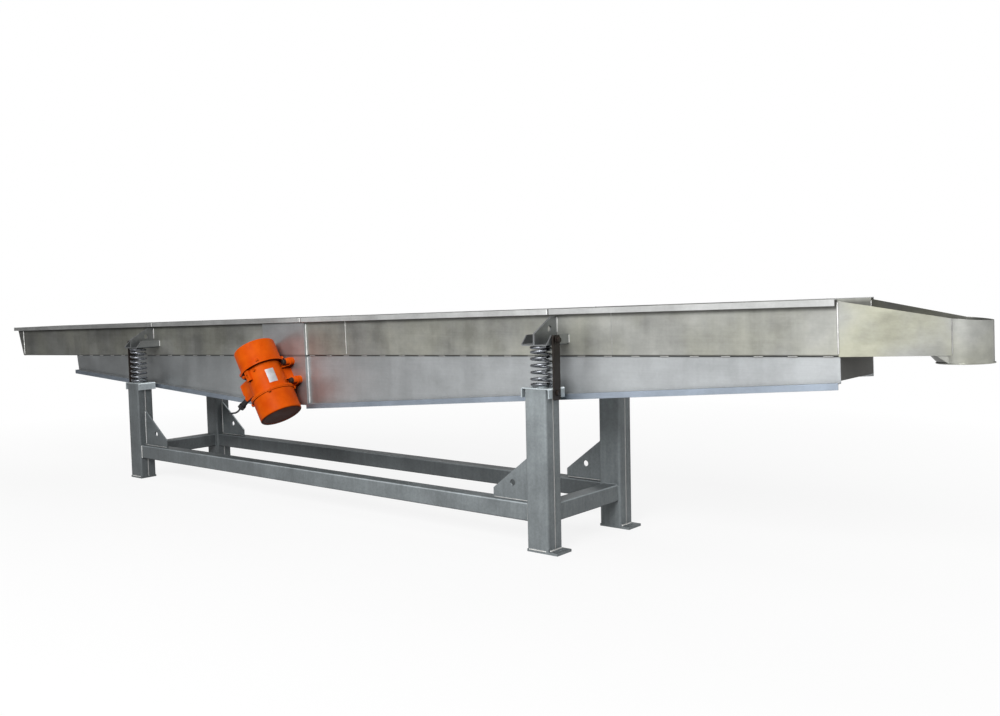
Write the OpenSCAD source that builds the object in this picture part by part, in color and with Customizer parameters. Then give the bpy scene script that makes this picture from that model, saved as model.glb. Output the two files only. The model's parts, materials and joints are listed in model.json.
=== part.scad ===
// Linear vibratory feeder: a long open trough on four coil springs, shaken by a pair of
// vibration motors and standing on a welded frame.
// Origin: on the floor, at the centre between the four legs. +X runs along the trough from
// the feed end to the discharge end, +Y from the front side to the rear side, +Z up.

/* [Frame] */
// Length over the legs, along the trough
frame_l = 2850; // [2200:10:3400]
// From the trough's wall to the legs' outer faces
wall_gap = 141; // [125:1:190]
// Leg size along the trough
leg_w = 100; // [90:1:120]
// Leg size across the trough
leg_d = 90; // [84:1:110]
// Wall of the leg channels
leg_wall = 6; // [4:0.5:8]
// Top of the feed end legs above the floor
leg_h_feed = 515; // [420:1:600]
// Top of the discharge end legs above the floor
leg_h_discharge = 616; // [520:1:700]
// Thickness of a foot plate
foot_t = 10; // [8:1:16]
// How far a discharge end foot plate stands out beyond its leg
foot_reach = 41; // [36:1:60]
// Diameter of an anchor hole
anchor_d = 14; // [12:1:18]
// Size of the square tube of the rails
rail_size = 70; // [50:1:76]
// Wall of the square tube of the rails
rail_wall = 4; // [3:0.5:6]
// Underside of the rails above the floor
rail_z = 111; // [80:1:180]
// Set-back of the cross rails from the legs' outer faces
cross_set_back = 10; // [4:1:25]
// Length of a knee gusset along its rail
knee_l = 194; // [140:1:240]
// Height of a knee gusset up its leg
knee_h = 184; // [140:1:230]
// Height of a knee gusset's blunt end
knee_blunt = 35; // [15:1:60]
// Thickness of a knee gusset
knee_t = 8; // [5:0.5:12]
// Diameter of the hole in a knee gusset
knee_hole_d = 25; // [14:1:30]

/* [Springs] */
// Length of a feed end spring under load
spring_h_feed = 187; // [160:1:200]
// Length of a discharge end spring under load
spring_h_discharge = 156; // [130:1:170]
// Outer diameter of a spring
spring_d = 86; // [70:1:90]
// Diameter of the spring wire
wire_d = 11; // [8:0.5:13]
// Rise of one open turn
spring_pitch = 26; // [22:0.5:32]
// Gap between a leg and the flanges of its spring seat
seat_gap = 10; // [9:0.5:20]
// Length of a lower spring seat
seat_l = 101; // [96:1:110]
// Depth of a lower seat's flanges
seat_flange = 38; // [30:1:50]
// Sheet of the seats and brackets
seat_t = 5; // [4:0.5:8]
// Depth of a bracket's flanges
bracket_flange = 40; // [30:1:50]
// Slope of the brackets' front ends
bracket_slant = 32; // [10:1:40]
// Underside of a bracket above the trough's underside
bracket_rise = 48; // [40:1:60]
// Thickness of a lifting gusset
lift_t = 8; // [6:0.5:12]
// Diameter of the lifting hole
lift_d = 24; // [16:1:28]
// Width of a retaining strap
strap_w = 42; // [30:1:50]
// Thickness of a retaining strap
strap_t = 6; // [4:0.5:8]
// Thread diameter of the strap bolts
strap_bolt_d = 12; // [10:1:14]
// Middle of a strap behind the leg's front face
strap_y = 46; // [38:1:62]
// Free travel of a keeper bolt up or down in its slot
slot_play = 8; // [5:1:10]
// Gap between a strap and what moves past it
strap_gap = 5; // [4.5:0.5:8]

/* [Trough] */
// Length of the straight trough along its floor
pan_l = 5352; // [4300:1:6500]
// Part of the straight trough on the feed side of the frame's middle
pan_feed_l = 2886; // [2300:1:3500]
// Outer width of the trough
pan_w = 302; // [250:1:330]
// Height of the trough over its rims
pan_h = 181; // [150:1:210]
// Sheet of the trough
pan_t = 3; // [2:0.5:4]
// Outer bend radius at the floor
pan_r = 8; // [4:0.5:12]
// How far the feed end plate leans out
feed_lean = 60; // [30:1:90]
// How far the rims stand out
rim_out = 25; // [15:1:30]
// Depth of the rims' folded edge
rim_drop = 21; // [14:1:30]
// Sheet of the rims
rim_t = 2.5; // [2:0.5:4]
// Length of the tapered discharge section
taper_l = 317; // [250:1:400]
// Wall height at the wide end of the tapered section
taper_high_h = 175; // [130:1:178]
// Wall height at the narrow end of the tapered section
taper_low_h = 111; // [90:1:125]
// Outer diameter of the discharge spout
spout_d = 160; // [130:1:180]
// How far the spout stands below the trough
spout_drop = 27; // [24:1:60]

/* [Keels] */
// Sheet of the keels
keel_t = 4; // [3:0.5:6]
// Feed end of the keels, from the frame's middle
keel_feed_l = 2212; // [1700:1:2700]
// Depth of a keel web at its feed end
keel_feed_h = 89; // [60:1:120]
// How far a keel web reaches below the lowest motor foot
keel_margin = 8.7; // [2:0.1:40]
// Depth of a keel web at its discharge end
keel_discharge_h = 84; // [60:1:120]
// How far the folded lower lip stands out
lip_out = 24; // [15:1:30]
// How far the folded lower lip drops
lip_drop = 22; // [12:1:30]
// How far short of its keel the rear lip ends at the discharge end
rear_lip_short = 130; // [20:1:300]
// Depth of the keel end plates
keel_end_h = 75; // [50:1:100]
// Diameter of the cross beam between the motor plates
beam_d = 90; // [80:1:100]
// Wall of the cross beam
beam_wall = 6; // [4:0.5:10]

/* [Motors] */
// Motor centre from the frame's middle, towards the feed end
motor_back = 230; // [0:1:600]
// Motor centre below the trough's underside
motor_drop = 113; // [108:1:140]
// Angle of the stroke above the trough's floor
drive_angle = 30; // [25:0.5:35]
// How much higher the rear motor sits along its axis
rear_motor_lift = 42; // [0:1:50]
// Length of a motor over its covers
motor_l = 366; // [350:1:400]
// Diameter of the end covers
cover_d = 198; // [190:1:210]
// Length of the housing over its flanges
core_l = 150; // [140:1:190]
// Gap between a motor's flanges and its mounting plate
motor_gap = 4; // [2:0.5:20]
// From a foot to the housing's end
foot_edge = 5; // [0:0.5:12]
// Spacing of the foot bolts across the motor axis
foot_pitch_x = 180; // [176:1:200]
// Thread diameter of the foot bolts
foot_bolt_d = 16; // [12:1:20]
// Thickness of a motor mounting plate
plate_t = 12; // [8:1:20]
// Diameter of the motor lead
lead_d = 9; // [8:0.5:12]
// Diameter of the rotor shaft
shaft_d = 40; // [34:1:44]
// Radial running gap between rotor and stator
air_gap = 0.6; // [0.4:0.1:1]
// Thickness of one eccentric weight
weight_t = 22; // [16:1:24]

/* [Hidden] */
$fn = 64;

front = -1;
rear = 1;
feed = -1;
discharge = 1;
sides = [front, rear];
ends = [feed, discharge];
over = 1; // how far a cutter runs past the face it cuts

steel = [0.60, 0.64, 0.66];
stainless = [0.66, 0.66, 0.63];
orange = [0.88, 0.28, 0.06];
dark = [0.12, 0.12, 0.13];
bright = [0.80, 0.80, 0.82];

// Frame
leg_r = 10;         // outer bend radius of the leg channels
rail_r = 7;         // outer corner radius of the rail tube
bend_r = 8;         // outer bend radius of the seats and brackets
seam = 4;           // width of the weld groove down a leg
bead_r = 2;         // radius of a weld bead
frame_w = pan_w + 2 * wall_gap;
rail_l = frame_l - 2 * leg_w;
cross_l = frame_w - 2 * leg_d;
rail_y = (frame_w - leg_d) / 2;
cross_x = frame_l / 2 - cross_set_back - rail_size / 2;
knee_hole = [knee_l / 2, 0.35 * knee_h];

// Spring stacks, measured from a leg's outer front corner
stack_x = -leg_w / 2;
stack_y = leg_d / 2;
seat_w = leg_w + 2 * (seat_gap + seat_t);
bracket_w = seat_w - 2 * strap_gap;
spring_in = spring_d - 2 * wire_d;
ring_d = spring_in - 10;
ring_h = 14;
ring_wall = 4;
seat_side = stack_x + seat_w / 2;
strap_bolt_z = -seat_flange / 2;
bracket_side = stack_x + bracket_w / 2;
keeper_z = 22;      // keeper bolt above a bracket's underside
strap_foot = 8;     // strap below the lower seat's flange
lift_front = 46;    // height of a lifting gusset's front edge
lift_top = bracket_rise + 57;
lift_hole = [wall_gap - 46, 60];
nut_h = 7;
head_h = 8;

function leg_h(end) = end == feed ? leg_h_feed : leg_h_discharge;
function spring_h(end) = end == feed ? spring_h_feed : spring_h_discharge;
function seat_z(end) = leg_h(end) + seat_t;
function bracket_z(end) = seat_z(end) + spring_h(end);

// The trough lies along the line through its brackets
incline = atan((bracket_z(discharge) - bracket_z(feed)) / (frame_l - leg_w));
pan_z = (bracket_z(discharge) + bracket_z(feed)) / 2 - bracket_rise;
pan_end = pan_l - pan_feed_l;
wall_h = pan_h - rim_t;
seam_places = [195, pan_end - 838];
rim_joints = [-frame_l / 2 + 81, -92, frame_l / 2 - 69];
lean_angle = atan(feed_lean / wall_h);
rim_feed = pan_feed_l + feed_lean + pan_t;

// Tapered discharge section and round spout
spout_set = 16;     // spout axis beyond the end of the taper's walls
spout_x = pan_end + taper_l + spout_set;
neck = sqrt(pow(spout_d / 2, 2) - pow(spout_set, 2));
taper_end = taper_l + spout_set;
taper_n = neck - spout_set * (pan_w / 2 - neck) / taper_l;
collar = 22;        // width of the cone under the floor
ring_t = pan_t + 1; // wall of the spout's full ring, below the floor
spout_rim_h = taper_low_h - 9;

// Motors: local z is the shaft, local +y faces the mounting plate
flange_t = 10;
flange_d = cover_d + 12;
barrel_d = cover_d - 26;
motor_base = flange_d / 2 + motor_gap;
motor_y = pan_w / 2 + plate_t + motor_base;
core_half = core_l / 2;
cover_l = (motor_l - core_l) / 2;
cover_wall = 5;
cover_r = 8;
rotor_d = 2 * shaft_d;
stator_d = rotor_d + 50;
stator_l = 2 * core_half - 50;
bearing_d = rotor_d + 10;
shaft_fit = 0.3;    // radial gap from the shaft to a bearing's inner ring
bearing_w = 18;
shaft_half = motor_l / 2 - 20;
weight_r = cover_d / 2 - cover_wall - 10;
weight_gap = 4;
weight_start = core_half + 9;
weight_turn = 12;   // each weight of a pair is turned this far off the pair's middle
foot_h = 24;
foot_r = 1.25 * foot_bolt_d;
foot_rib = 0.2 * foot_bolt_d;
foot_pitch_z = core_l - 2 * (foot_r + foot_edge);
foot_clear = 1;     // bolt hole over bolt diameter
base_x = 62;        // half width of the cast base
foot_head = 0.625 * foot_bolt_d;
box_x = -barrel_d / 2 - 20;     // outer face of the terminal box
box_y = [-72, 14];
box_z = [-44, 42];
box_wall = 5;
box_depth = 20;
lid_t = 8;
lid_low = -12;      // lower edge of the lid, above the gland
gland_at = [box_x + 8, -56, -27];   // on a gland's axis, inside the terminal box
gland_turn = [0, -13, 10];
gland_way = [-cos(gland_turn[1]) * cos(gland_turn[2]),
             -cos(gland_turn[1]) * sin(gland_turn[2]),
             sin(gland_turn[1])];
gland_root = 15;    // length of the cast root that a gland screws into
gland_l = 66;
gland_d = 26;
gland_hex = 32;
gland_nut = 25;
screw_d = 8;
screw_r = cover_d / 2 + 4;

// Keels, motor plates and cross beam
keel_in = 3;        // keel face behind the trough's outer wall
keel_rake = 14;
keel_y = pan_w / 2 - keel_in;
keel_end = pan_end + keel_t;
keel_end_x = -keel_feed_l + 12;
foot_span = foot_pitch_x / 2 * cos(drive_angle) + foot_pitch_z / 2 * sin(drive_angle) + foot_r;
foot_low = foot_pitch_x / 2 * sin(drive_angle) + foot_pitch_z / 2 * cos(drive_angle) + foot_r;
keel_mid_h = motor_drop + foot_low + keel_margin;
plate_x = [-motor_back - foot_span - 38, -motor_back + foot_span + 27];
plate_low = keel_mid_h + 2;
plate_top = pan_h - rim_drop - 2;

// Motor lead in its motor's own frame, in steps from the gland's mouth to its bare end
lead_steps = [
    [0, 0, 0], [-19, -3, -4], [-38, -4, -1], [-57, -4, 7], [-76, -4, 15], [-86, -4, 19]
];
lead_route = [for (p = lead_steps) gland_at + (gland_root + gland_l) * gland_way + p];
lead_sides = 10;

// Coil springs: closed and ground ends, open turns between
coil_steps = 16;    // rings in one turn
wire_sides = 8;
coil_dead = 1.05 * wire_d;
coil_ground = 0.3 * wire_d;

// ---- Helpers ----

// A flat shape with the corners of a square tube, its corner at the origin
module rounded_rect(w, h, r) {
    translate([r, 0])
        square([w - 2 * r, h]);
    translate([0, r])
        square([w, h - 2 * r]);
    for (x = [r, w - r], y = [r, h - r])
        translate([x, y])
            circle(r);
}

// A closed square tube section, its corner at the origin
module tube_section(w, h, t, r) {
    difference() {
        rounded_rect(w, h, r);
        translate([t, t])
            rounded_rect(w - 2 * t, h - 2 * t, r - t);
    }
}

// A channel section centred on x = 0: its web on the x axis, its flanges pointing up
module channel_section(w, h, t, r) {
    difference() {
        translate([-w / 2, 0])
            rounded_rect(w, 2 * h, r);
        translate([-w / 2 + t, t])
            rounded_rect(w - 2 * t, 2 * h, r - t);
        translate([-w / 2 - over, h])
            square([w + 2 * over, 2 * h]);
    }
}

// Flat shape in the Y-Z plane, extruded along +X
module along_x(l) {
    rotate([90, 0, 90])
        linear_extrude(l)
            children();
}

// Flat shape in the X-Z plane, extruded along +Y
module along_y(l) {
    translate([0, l, 0])
        rotate([90, 0, 0])
            linear_extrude(l)
                children();
}

// A round bar or hole along +X
module bar_x(d, l) {
    rotate([0, 90, 0])
        cylinder(d = d, h = l);
}

// A round bar or hole along +Y
module bar_y(d, l) {
    rotate([-90, 0, 0])
        cylinder(d = d, h = l);
}

// A hexagon along +X, size across its flats
module hex_x(flats, l) {
    rotate([0, 90, 0])
        cylinder(d = flats / cos(30), h = l, $fn = 6);
}

// A hexagon along +Y, size across its flats
module hex_y(flats, l) {
    rotate([-90, 0, 0])
        cylinder(d = flats / cos(30), h = l, $fn = 6);
}

// Places a piece drawn for the front discharge leg, from that leg's outer front corner
module corner(side, end) {
    mirror([end == feed ? 1 : 0, 0, 0])
        mirror([0, side == rear ? 1 : 0, 0])
            translate([frame_l / 2, -frame_w / 2, 0])
                children();
}

// Places a piece drawn on a level trough whose underside is z = 0
module in_trough() {
    translate([0, 0, pan_z])
        rotate([0, -incline, 0])
            children();
}

// Places a piece drawn for the front side
module on_side(side) {
    mirror([0, side == rear ? 1 : 0, 0])
        children();
}

// Places a piece drawn about a motor's centre, its shaft along z
module in_motor(side) {
    in_trough()
        on_side(side)
            translate([-motor_back, -motor_y, -motor_drop])
                rotate([0, -drive_angle, 0])
                    translate([0, 0, side == rear ? rear_motor_lift : 0])
                        children();
}

// Places a piece drawn along -x on the cable gland's axis
module at_gland() {
    translate(gland_at)
        rotate(gland_turn)
            children();
}

// Repeats a piece at a motor's four foot bolts
module at_feet() {
    for (x = [-1, 1], z = [-1, 1])
        translate([x * foot_pitch_x / 2, 0, z * foot_pitch_z / 2])
            children();
}

// ---- Frame ----

// Two channels welded toe to toe, the groove and its weld down the middle of both sides
module leg_section() {
    difference() {
        tube_section(leg_w, leg_d, leg_wall, leg_r);
        for (x = [0, leg_w])
            translate([x, leg_d / 2])
                rotate(45)
                    square(seam, center = true);
    }
    for (x = [bead_r, leg_w - bead_r])
        translate([x, leg_d / 2])
            circle(bead_r);
}

module leg(side, end) {
    color(steel)
        corner(side, end) {
            translate([-leg_w, 0, foot_t])
                linear_extrude(leg_h(end) - foot_t)
                    leg_section();
            difference() {
                translate([-leg_w, 0, 0])
                    cube([leg_w + (end == discharge ? foot_reach : 0), leg_d, foot_t]);
                translate([foot_reach / 2, leg_d / 2, -over])
                    cylinder(d = anchor_d, h = foot_t + 2 * over);
            }
        }
}

module knee_gusset() {
    along_y(knee_t)
        difference() {
            polygon([[0, 0], [knee_l, 0], [knee_l, knee_blunt], [0, knee_h]]);
            translate(knee_hole)
                circle(d = knee_hole_d);
        }
}

module long_rail(side) {
    color(steel)
        on_side(side)
            translate([0, -rail_y, 0]) {
                translate([-rail_l / 2, -rail_size / 2, rail_z])
                    along_x(rail_l)
                        tube_section(rail_size, rail_size, rail_wall, rail_r);
                for (end = ends)
                    mirror([end == discharge ? 1 : 0, 0, 0])
                        translate([-rail_l / 2, -knee_t / 2, rail_z + rail_size])
                            knee_gusset();
            }
}

module cross_rail(end) {
    color(steel)
        translate([end * cross_x - rail_size / 2, -cross_l / 2, rail_z])
            along_y(cross_l)
                tube_section(rail_size, rail_size, rail_wall, rail_r);
}

// ---- Spring stacks ----

// Locating ring inside the end of a spring
module spring_ring() {
    difference() {
        cylinder(d = ring_d, h = ring_h);
        translate([0, 0, -over])
            cylinder(d = ring_d - 2 * ring_wall, h = ring_h + 2 * over);
    }
}

module spring_seat(side, end) {
    color(steel)
        corner(side, end)
            translate([stack_x, 0, seat_z(end)]) {
                difference() {
                    mirror([0, 0, 1])
                        along_y(seat_l)
                            channel_section(seat_w, seat_flange, seat_t, bend_r);
                    translate([seat_w / 2 - seat_t - over, strap_y, strap_bolt_z])
                        bar_x(strap_bolt_d, seat_t + 2 * over);
                }
                translate([0, stack_y, 0])
                    spring_ring();
            }
}

// Side view of a lifting gusset: from the bracket's front end up to the trough's wall
module lift_outline() {
    difference() {
        polygon([
            [0, 0], [0, lift_front], [wall_gap - 34, lift_top],
            [wall_gap, lift_top], [wall_gap, 0]
        ]);
        translate(lift_hole)
            circle(d = lift_d);
    }
}

module bracket(side, end) {
    color(steel)
        corner(side, end)
            translate([stack_x, 0, bracket_z(end)]) {
                difference() {
                    along_y(wall_gap)
                        channel_section(bracket_w, bracket_flange, seat_t, bend_r);
                    translate([-bracket_w / 2 - over, 0, 0])
                        along_x(bracket_w + 2 * over)
                            polygon([
                                [-over, seat_t], [0, seat_t],
                                [bracket_slant, bracket_flange + over],
                                [-over, bracket_flange + over]
                            ]);
                    translate([bracket_w / 2 - seat_t - over, strap_y, keeper_z])
                        bar_x(strap_bolt_d, seat_t + 2 * over);
                }
                translate([-lift_t / 2, 0, 0])
                    along_x(lift_t)
                        lift_outline();
                translate([0, stack_y, -ring_h])
                    spring_ring();
            }
}

// Flat bar bolted to the lower seat. Its slot holds the bracket's keeper bolt captive.
module strap(side, end) {
    low = seat_z(end) - seat_flange - strap_foot;
    slot_w = strap_bolt_d + 2;
    color(dark)
        corner(side, end)
            translate([seat_side, strap_y, 0])
                along_x(strap_t)
                    difference() {
                        translate([-strap_w / 2, low])
                            rounded_rect(strap_w, bracket_z(end) + bracket_flange - low, bend_r);
                        translate([0, seat_z(end) + strap_bolt_z])
                            circle(d = strap_bolt_d);
                        translate([-slot_w / 2, bracket_z(end) + keeper_z - slot_play])
                            square([slot_w, 2 * slot_play]);
                        for (z = [-slot_play, slot_play])
                            translate([0, bracket_z(end) + keeper_z + z])
                                circle(d = slot_w);
                    }
}

module strap_bolts() {
    inside = seat_side - seat_t;
    outside = seat_side + strap_t;
    color(bright)
        for (side = sides, end = ends)
            corner(side, end)
                translate([0, strap_y, seat_z(end) + strap_bolt_z]) {
                    translate([inside - nut_h, 0, 0])
                        hex_x(1.5 * strap_bolt_d, nut_h);
                    translate([inside - nut_h, 0, 0])
                        bar_x(strap_bolt_d, outside - inside + nut_h + over);
                    translate([outside, 0, 0])
                        hex_x(1.5 * strap_bolt_d, head_h);
                }
}

module keeper_bolts() {
    inside = bracket_side - seat_t;
    outside = seat_side + strap_t + strap_gap;
    washer_t = 2.5;
    color(bright)
        for (side = sides, end = ends)
            corner(side, end)
                translate([0, strap_y, bracket_z(end) + keeper_z]) {
                    translate([inside - nut_h, 0, 0])
                        hex_x(1.5 * strap_bolt_d, nut_h);
                    translate([inside - nut_h, 0, 0])
                        bar_x(strap_bolt_d, outside - inside + nut_h + over);
                    translate([outside, 0, 0])
                        bar_x(2.6 * strap_bolt_d, washer_t);
                    translate([outside + washer_t, 0, 0])
                        hex_x(1.5 * strap_bolt_d, head_h);
                }
}

// ---- Coil springs ----

// Rise of the wire's centre after a number of turns
function coil_z(turn, turns, h) =
    turn < 1 ? coil_ground + coil_dead * turn :
    turn > turns - 1 ? h - coil_ground - coil_dead * (turns - turn) :
    coil_ground + coil_dead
        + (turn - 1) * (h - 2 * coil_ground - 2 * coil_dead) / (turns - 2);

function coil_turns(h) =
    2 + round((h - 2 * coil_ground - 2 * coil_dead) / spring_pitch);

function coil_point(turn, turns, h, side) =
    let (a = 360 * side / wire_sides + 180 / wire_sides,
         r = (spring_d - wire_d) / 2 + wire_d / 2 * cos(a),
         z = coil_z(turn, turns, h) + wire_d / 2 * sin(a))
    [r * cos(360 * turn), r * sin(360 * turn), min(max(z, 0), h)];

// Faces of a tube made of rings of points
function tube_faces(rings, n) = concat(
    [[for (i = [n - 1:-1:0]) i]],
    [for (k = [0:rings - 2], i = [0:n - 1]) each [
        [k * n + i, k * n + (i + 1) % n, (k + 1) * n + (i + 1) % n],
        [k * n + i, (k + 1) * n + (i + 1) % n, (k + 1) * n + i]
    ]],
    [[for (i = [0:n - 1]) (rings - 1) * n + i]]
);

module spring(side, end) {
    h = spring_h(end);
    turns = coil_turns(h);
    rings = turns * coil_steps + 1;
    color(bright)
        corner(side, end)
            translate([stack_x, stack_y, seat_z(end)])
                polyhedron(
                    points = [
                        for (k = [0:rings - 1], i = [0:wire_sides - 1])
                            coil_point(k / coil_steps, turns, h, i)
                    ],
                    faces = tube_faces(rings, wire_sides)
                );
}

// ---- Trough ----

module trough_pan() {
    color(stainless)
        in_trough() {
            translate([-pan_feed_l, 0, 0])
                along_x(pan_l)
                    channel_section(pan_w, wall_h, pan_t, pan_r);
            for (side = sides)
                on_side(side) {
                    translate([-pan_feed_l, -pan_w / 2, 0])
                        along_y(pan_t)
                            polygon([[0, pan_r], [0, wall_h], [-feed_lean, wall_h]]);
                    for (x = seam_places)
                        translate([x, -pan_w / 2 + bead_r - 0.6, pan_r])
                            cylinder(r = bead_r, h = wall_h - pan_r);
                }
        }
}

// Leaning plate that closes the feed end, under a folded edge like the rims'
module feed_end() {
    plate_h = wall_h / cos(lean_angle);
    color(stainless)
        in_trough() {
            translate([-pan_feed_l, 0, 0])
                rotate([0, -lean_angle, 0])
                    translate([-pan_t, 0, 0])
                        along_x(pan_t)
                            difference() {
                                translate([-pan_w / 2, 0])
                                    rounded_rect(pan_w, 2 * plate_h, pan_r);
                                translate([-pan_w / 2 - over, plate_h])
                                    square([pan_w + 2 * over, 2 * plate_h]);
                            }
            translate([-rim_feed, -pan_w / 2 + pan_t, 0])
                along_y(pan_w - 2 * pan_t) {
                    translate([0, wall_h])
                        square([rim_out + pan_t, rim_t]);
                    translate([0, pan_h - rim_drop])
                        square([rim_t, rim_drop]);
                }
        }
}

module rim(side) {
    reach = pan_w / 2 + rim_out;
    color(stainless)
        in_trough()
            on_side(side)
                difference() {
                    translate([-rim_feed, 0, 0])
                        along_x(rim_feed + pan_end) {
                            translate([-reach, wall_h])
                                square([rim_out + pan_t, rim_t]);
                            translate([-reach, pan_h - rim_drop])
                                square([rim_t, rim_drop]);
                        }
                    for (x = rim_joints)
                        translate([x, 0, 0]) {
                            translate([0, -reach, pan_h])
                                rotate([0, 45, 0])
                                    cube([3, 3 * rim_out, 3], center = true);
                            translate([0, -reach, pan_h - rim_drop / 2])
                                rotate([0, 0, 45])
                                    cube([3, 3, 2 * rim_drop], center = true);
                        }
                }
}

// Plan of the tapered section, from the pan's end into the spout
module taper_plan(inset) {
    w = pan_w / 2 - inset;
    n = taper_n - inset;
    polygon([[0, -w], [taper_end, -n], [taper_end, n], [0, w]]);
}

module discharge_taper() {
    w = pan_w / 2;
    color(stainless)
        in_trough()
            translate([pan_end, 0, 0])
                difference() {
                    union() {
                        linear_extrude(pan_t)
                            taper_plan(0);
                        for (side = sides)
                            on_side(side)
                                linear_extrude(taper_high_h)
                                    polygon([
                                        [0, -w], [taper_end, -taper_n],
                                        [taper_end, -taper_n + pan_t], [0, -w + pan_t]
                                    ]);
                    }
                    translate([0, -pan_w, 0])
                        along_y(2 * pan_w)
                            polygon([
                                [-taper_l, 2 * taper_high_h - taper_low_h],
                                [2 * taper_l, 2 * taper_low_h - taper_high_h],
                                [2 * taper_l, 2 * pan_h], [-taper_l, 2 * pan_h]
                            ]);
                    translate([spout_x - pan_end, 0, -over])
                        cylinder(d = spout_d, h = pan_h + 2 * over);
                }
}

// Round spout through the floor, open above the floor towards the taper
module discharge_spout() {
    color(stainless)
        in_trough()
            translate([spout_x, 0, 0]) {
                difference() {
                    union() {
                        translate([0, 0, -spout_drop])
                            cylinder(d = spout_d, h = spout_drop + taper_low_h);
                        translate([0, 0, -spout_drop])
                            cylinder(d = spout_d + 8, h = pan_t);
                    }
                    translate([0, 0, -spout_drop - over])
                        cylinder(d = spout_d - 2 * ring_t, h = spout_drop + pan_h);
                    translate([0, 0, pan_t])
                        cylinder(d = spout_d - 2 * pan_t, h = pan_h);
                    translate([-spout_set - spout_d, -spout_d, pan_t])
                        cube([spout_d, 2 * spout_d, pan_h]);
                    translate([0, -spout_d, 0])
                        along_y(2 * spout_d)
                            polygon([
                                [-spout_set, taper_low_h], [spout_d / 2 + over, spout_rim_h],
                                [spout_d / 2 + over, pan_h], [-spout_set, pan_h]
                            ]);
                }
                intersection() {
                    difference() {
                        translate([0, 0, -spout_drop + pan_t])
                            cylinder(
                                h = spout_drop - pan_t,
                                d1 = spout_d, d2 = spout_d + 2 * collar
                            );
                        translate([0, 0, -spout_drop])
                            cylinder(d = spout_d, h = 2 * spout_drop);
                    }
                    translate([-spout_set - taper_l, 0, -spout_drop])
                        linear_extrude(spout_drop)
                            taper_plan(2 * pan_t);
                }
            }
}

// ---- Keels, beam and motor plates ----

// Web and folded lip of one keel half. Its lower edge runs from a to b in side view.
module keel_half(web, a, b) {
    up = [0, keel_t];
    down = [0, keel_t - lip_drop];
    translate([0, -keel_y, 0])
        along_y(keel_t)
            polygon(web);
    translate([0, -keel_y - lip_out, 0])
        along_y(lip_out)
            polygon([a, b, b + up, a + up]);
    translate([0, -keel_y - lip_out, 0])
        along_y(keel_t)
            polygon([a + up, b + up, b + down, a + down]);
}

module keel_feed(side) {
    low = [-keel_feed_l + keel_rake / 2, -keel_feed_h];
    color(stainless)
        in_trough()
            on_side(side)
                keel_half(
                    [
                        [-keel_feed_l - keel_rake / 2, 0], low, [plate_x[0], -keel_mid_h],
                        [-motor_back, -keel_mid_h], [-motor_back, 0]
                    ],
                    low, [plate_x[0], -keel_mid_h]
                );
}

module keel_discharge(side) {
    start = [plate_x[1], -keel_mid_h];
    end = [keel_end, -keel_discharge_h];
    lip_end = side == rear ? end - rear_lip_short * (end - start) / norm(end - start) : end;
    color(stainless)
        in_trough()
            on_side(side)
                keel_half(
                    [
                        [-motor_back, 0], [-motor_back, -keel_mid_h], start, end, [keel_end, 0]
                    ],
                    start, lip_end
                );
}

module keel_end_plate(end) {
    inside = keel_y - keel_t;
    color(stainless)
        in_trough()
            translate([end == discharge ? keel_end - keel_t : keel_end_x, -inside, -keel_end_h])
                cube([keel_t, 2 * inside, keel_end_h]);
}

module cross_beam() {
    inside = keel_y - keel_t;
    color(steel)
        in_trough()
            translate([-motor_back, -inside, -motor_drop])
                difference() {
                    bar_y(beam_d, 2 * inside);
                    translate([0, -over, 0])
                        bar_y(beam_d - 2 * beam_wall, 2 * inside + 2 * over);
                }
}

module motor_plate(side) {
    face = pan_w / 2 + plate_t;
    color(stainless)
        difference() {
            in_trough()
                on_side(side)
                    translate([plate_x[0], 0, 0])
                        along_x(plate_x[1] - plate_x[0])
                            polygon([
                                [-face, -plate_low], [-keel_y, -plate_low], [-keel_y, 0],
                                [-pan_w / 2, 0], [-pan_w / 2, plate_top], [-face, plate_top]
                            ]);
            in_motor(side)
                at_feet()
                    translate([0, motor_base - over, 0])
                        bar_y(foot_bolt_d, plate_t + keel_in + 2 * over);
        }
}

// ---- Motors ----

module foot_lug() {
    rotate([-90, 0, 0])
        cylinder(r = foot_r, h = foot_h);
}

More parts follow.
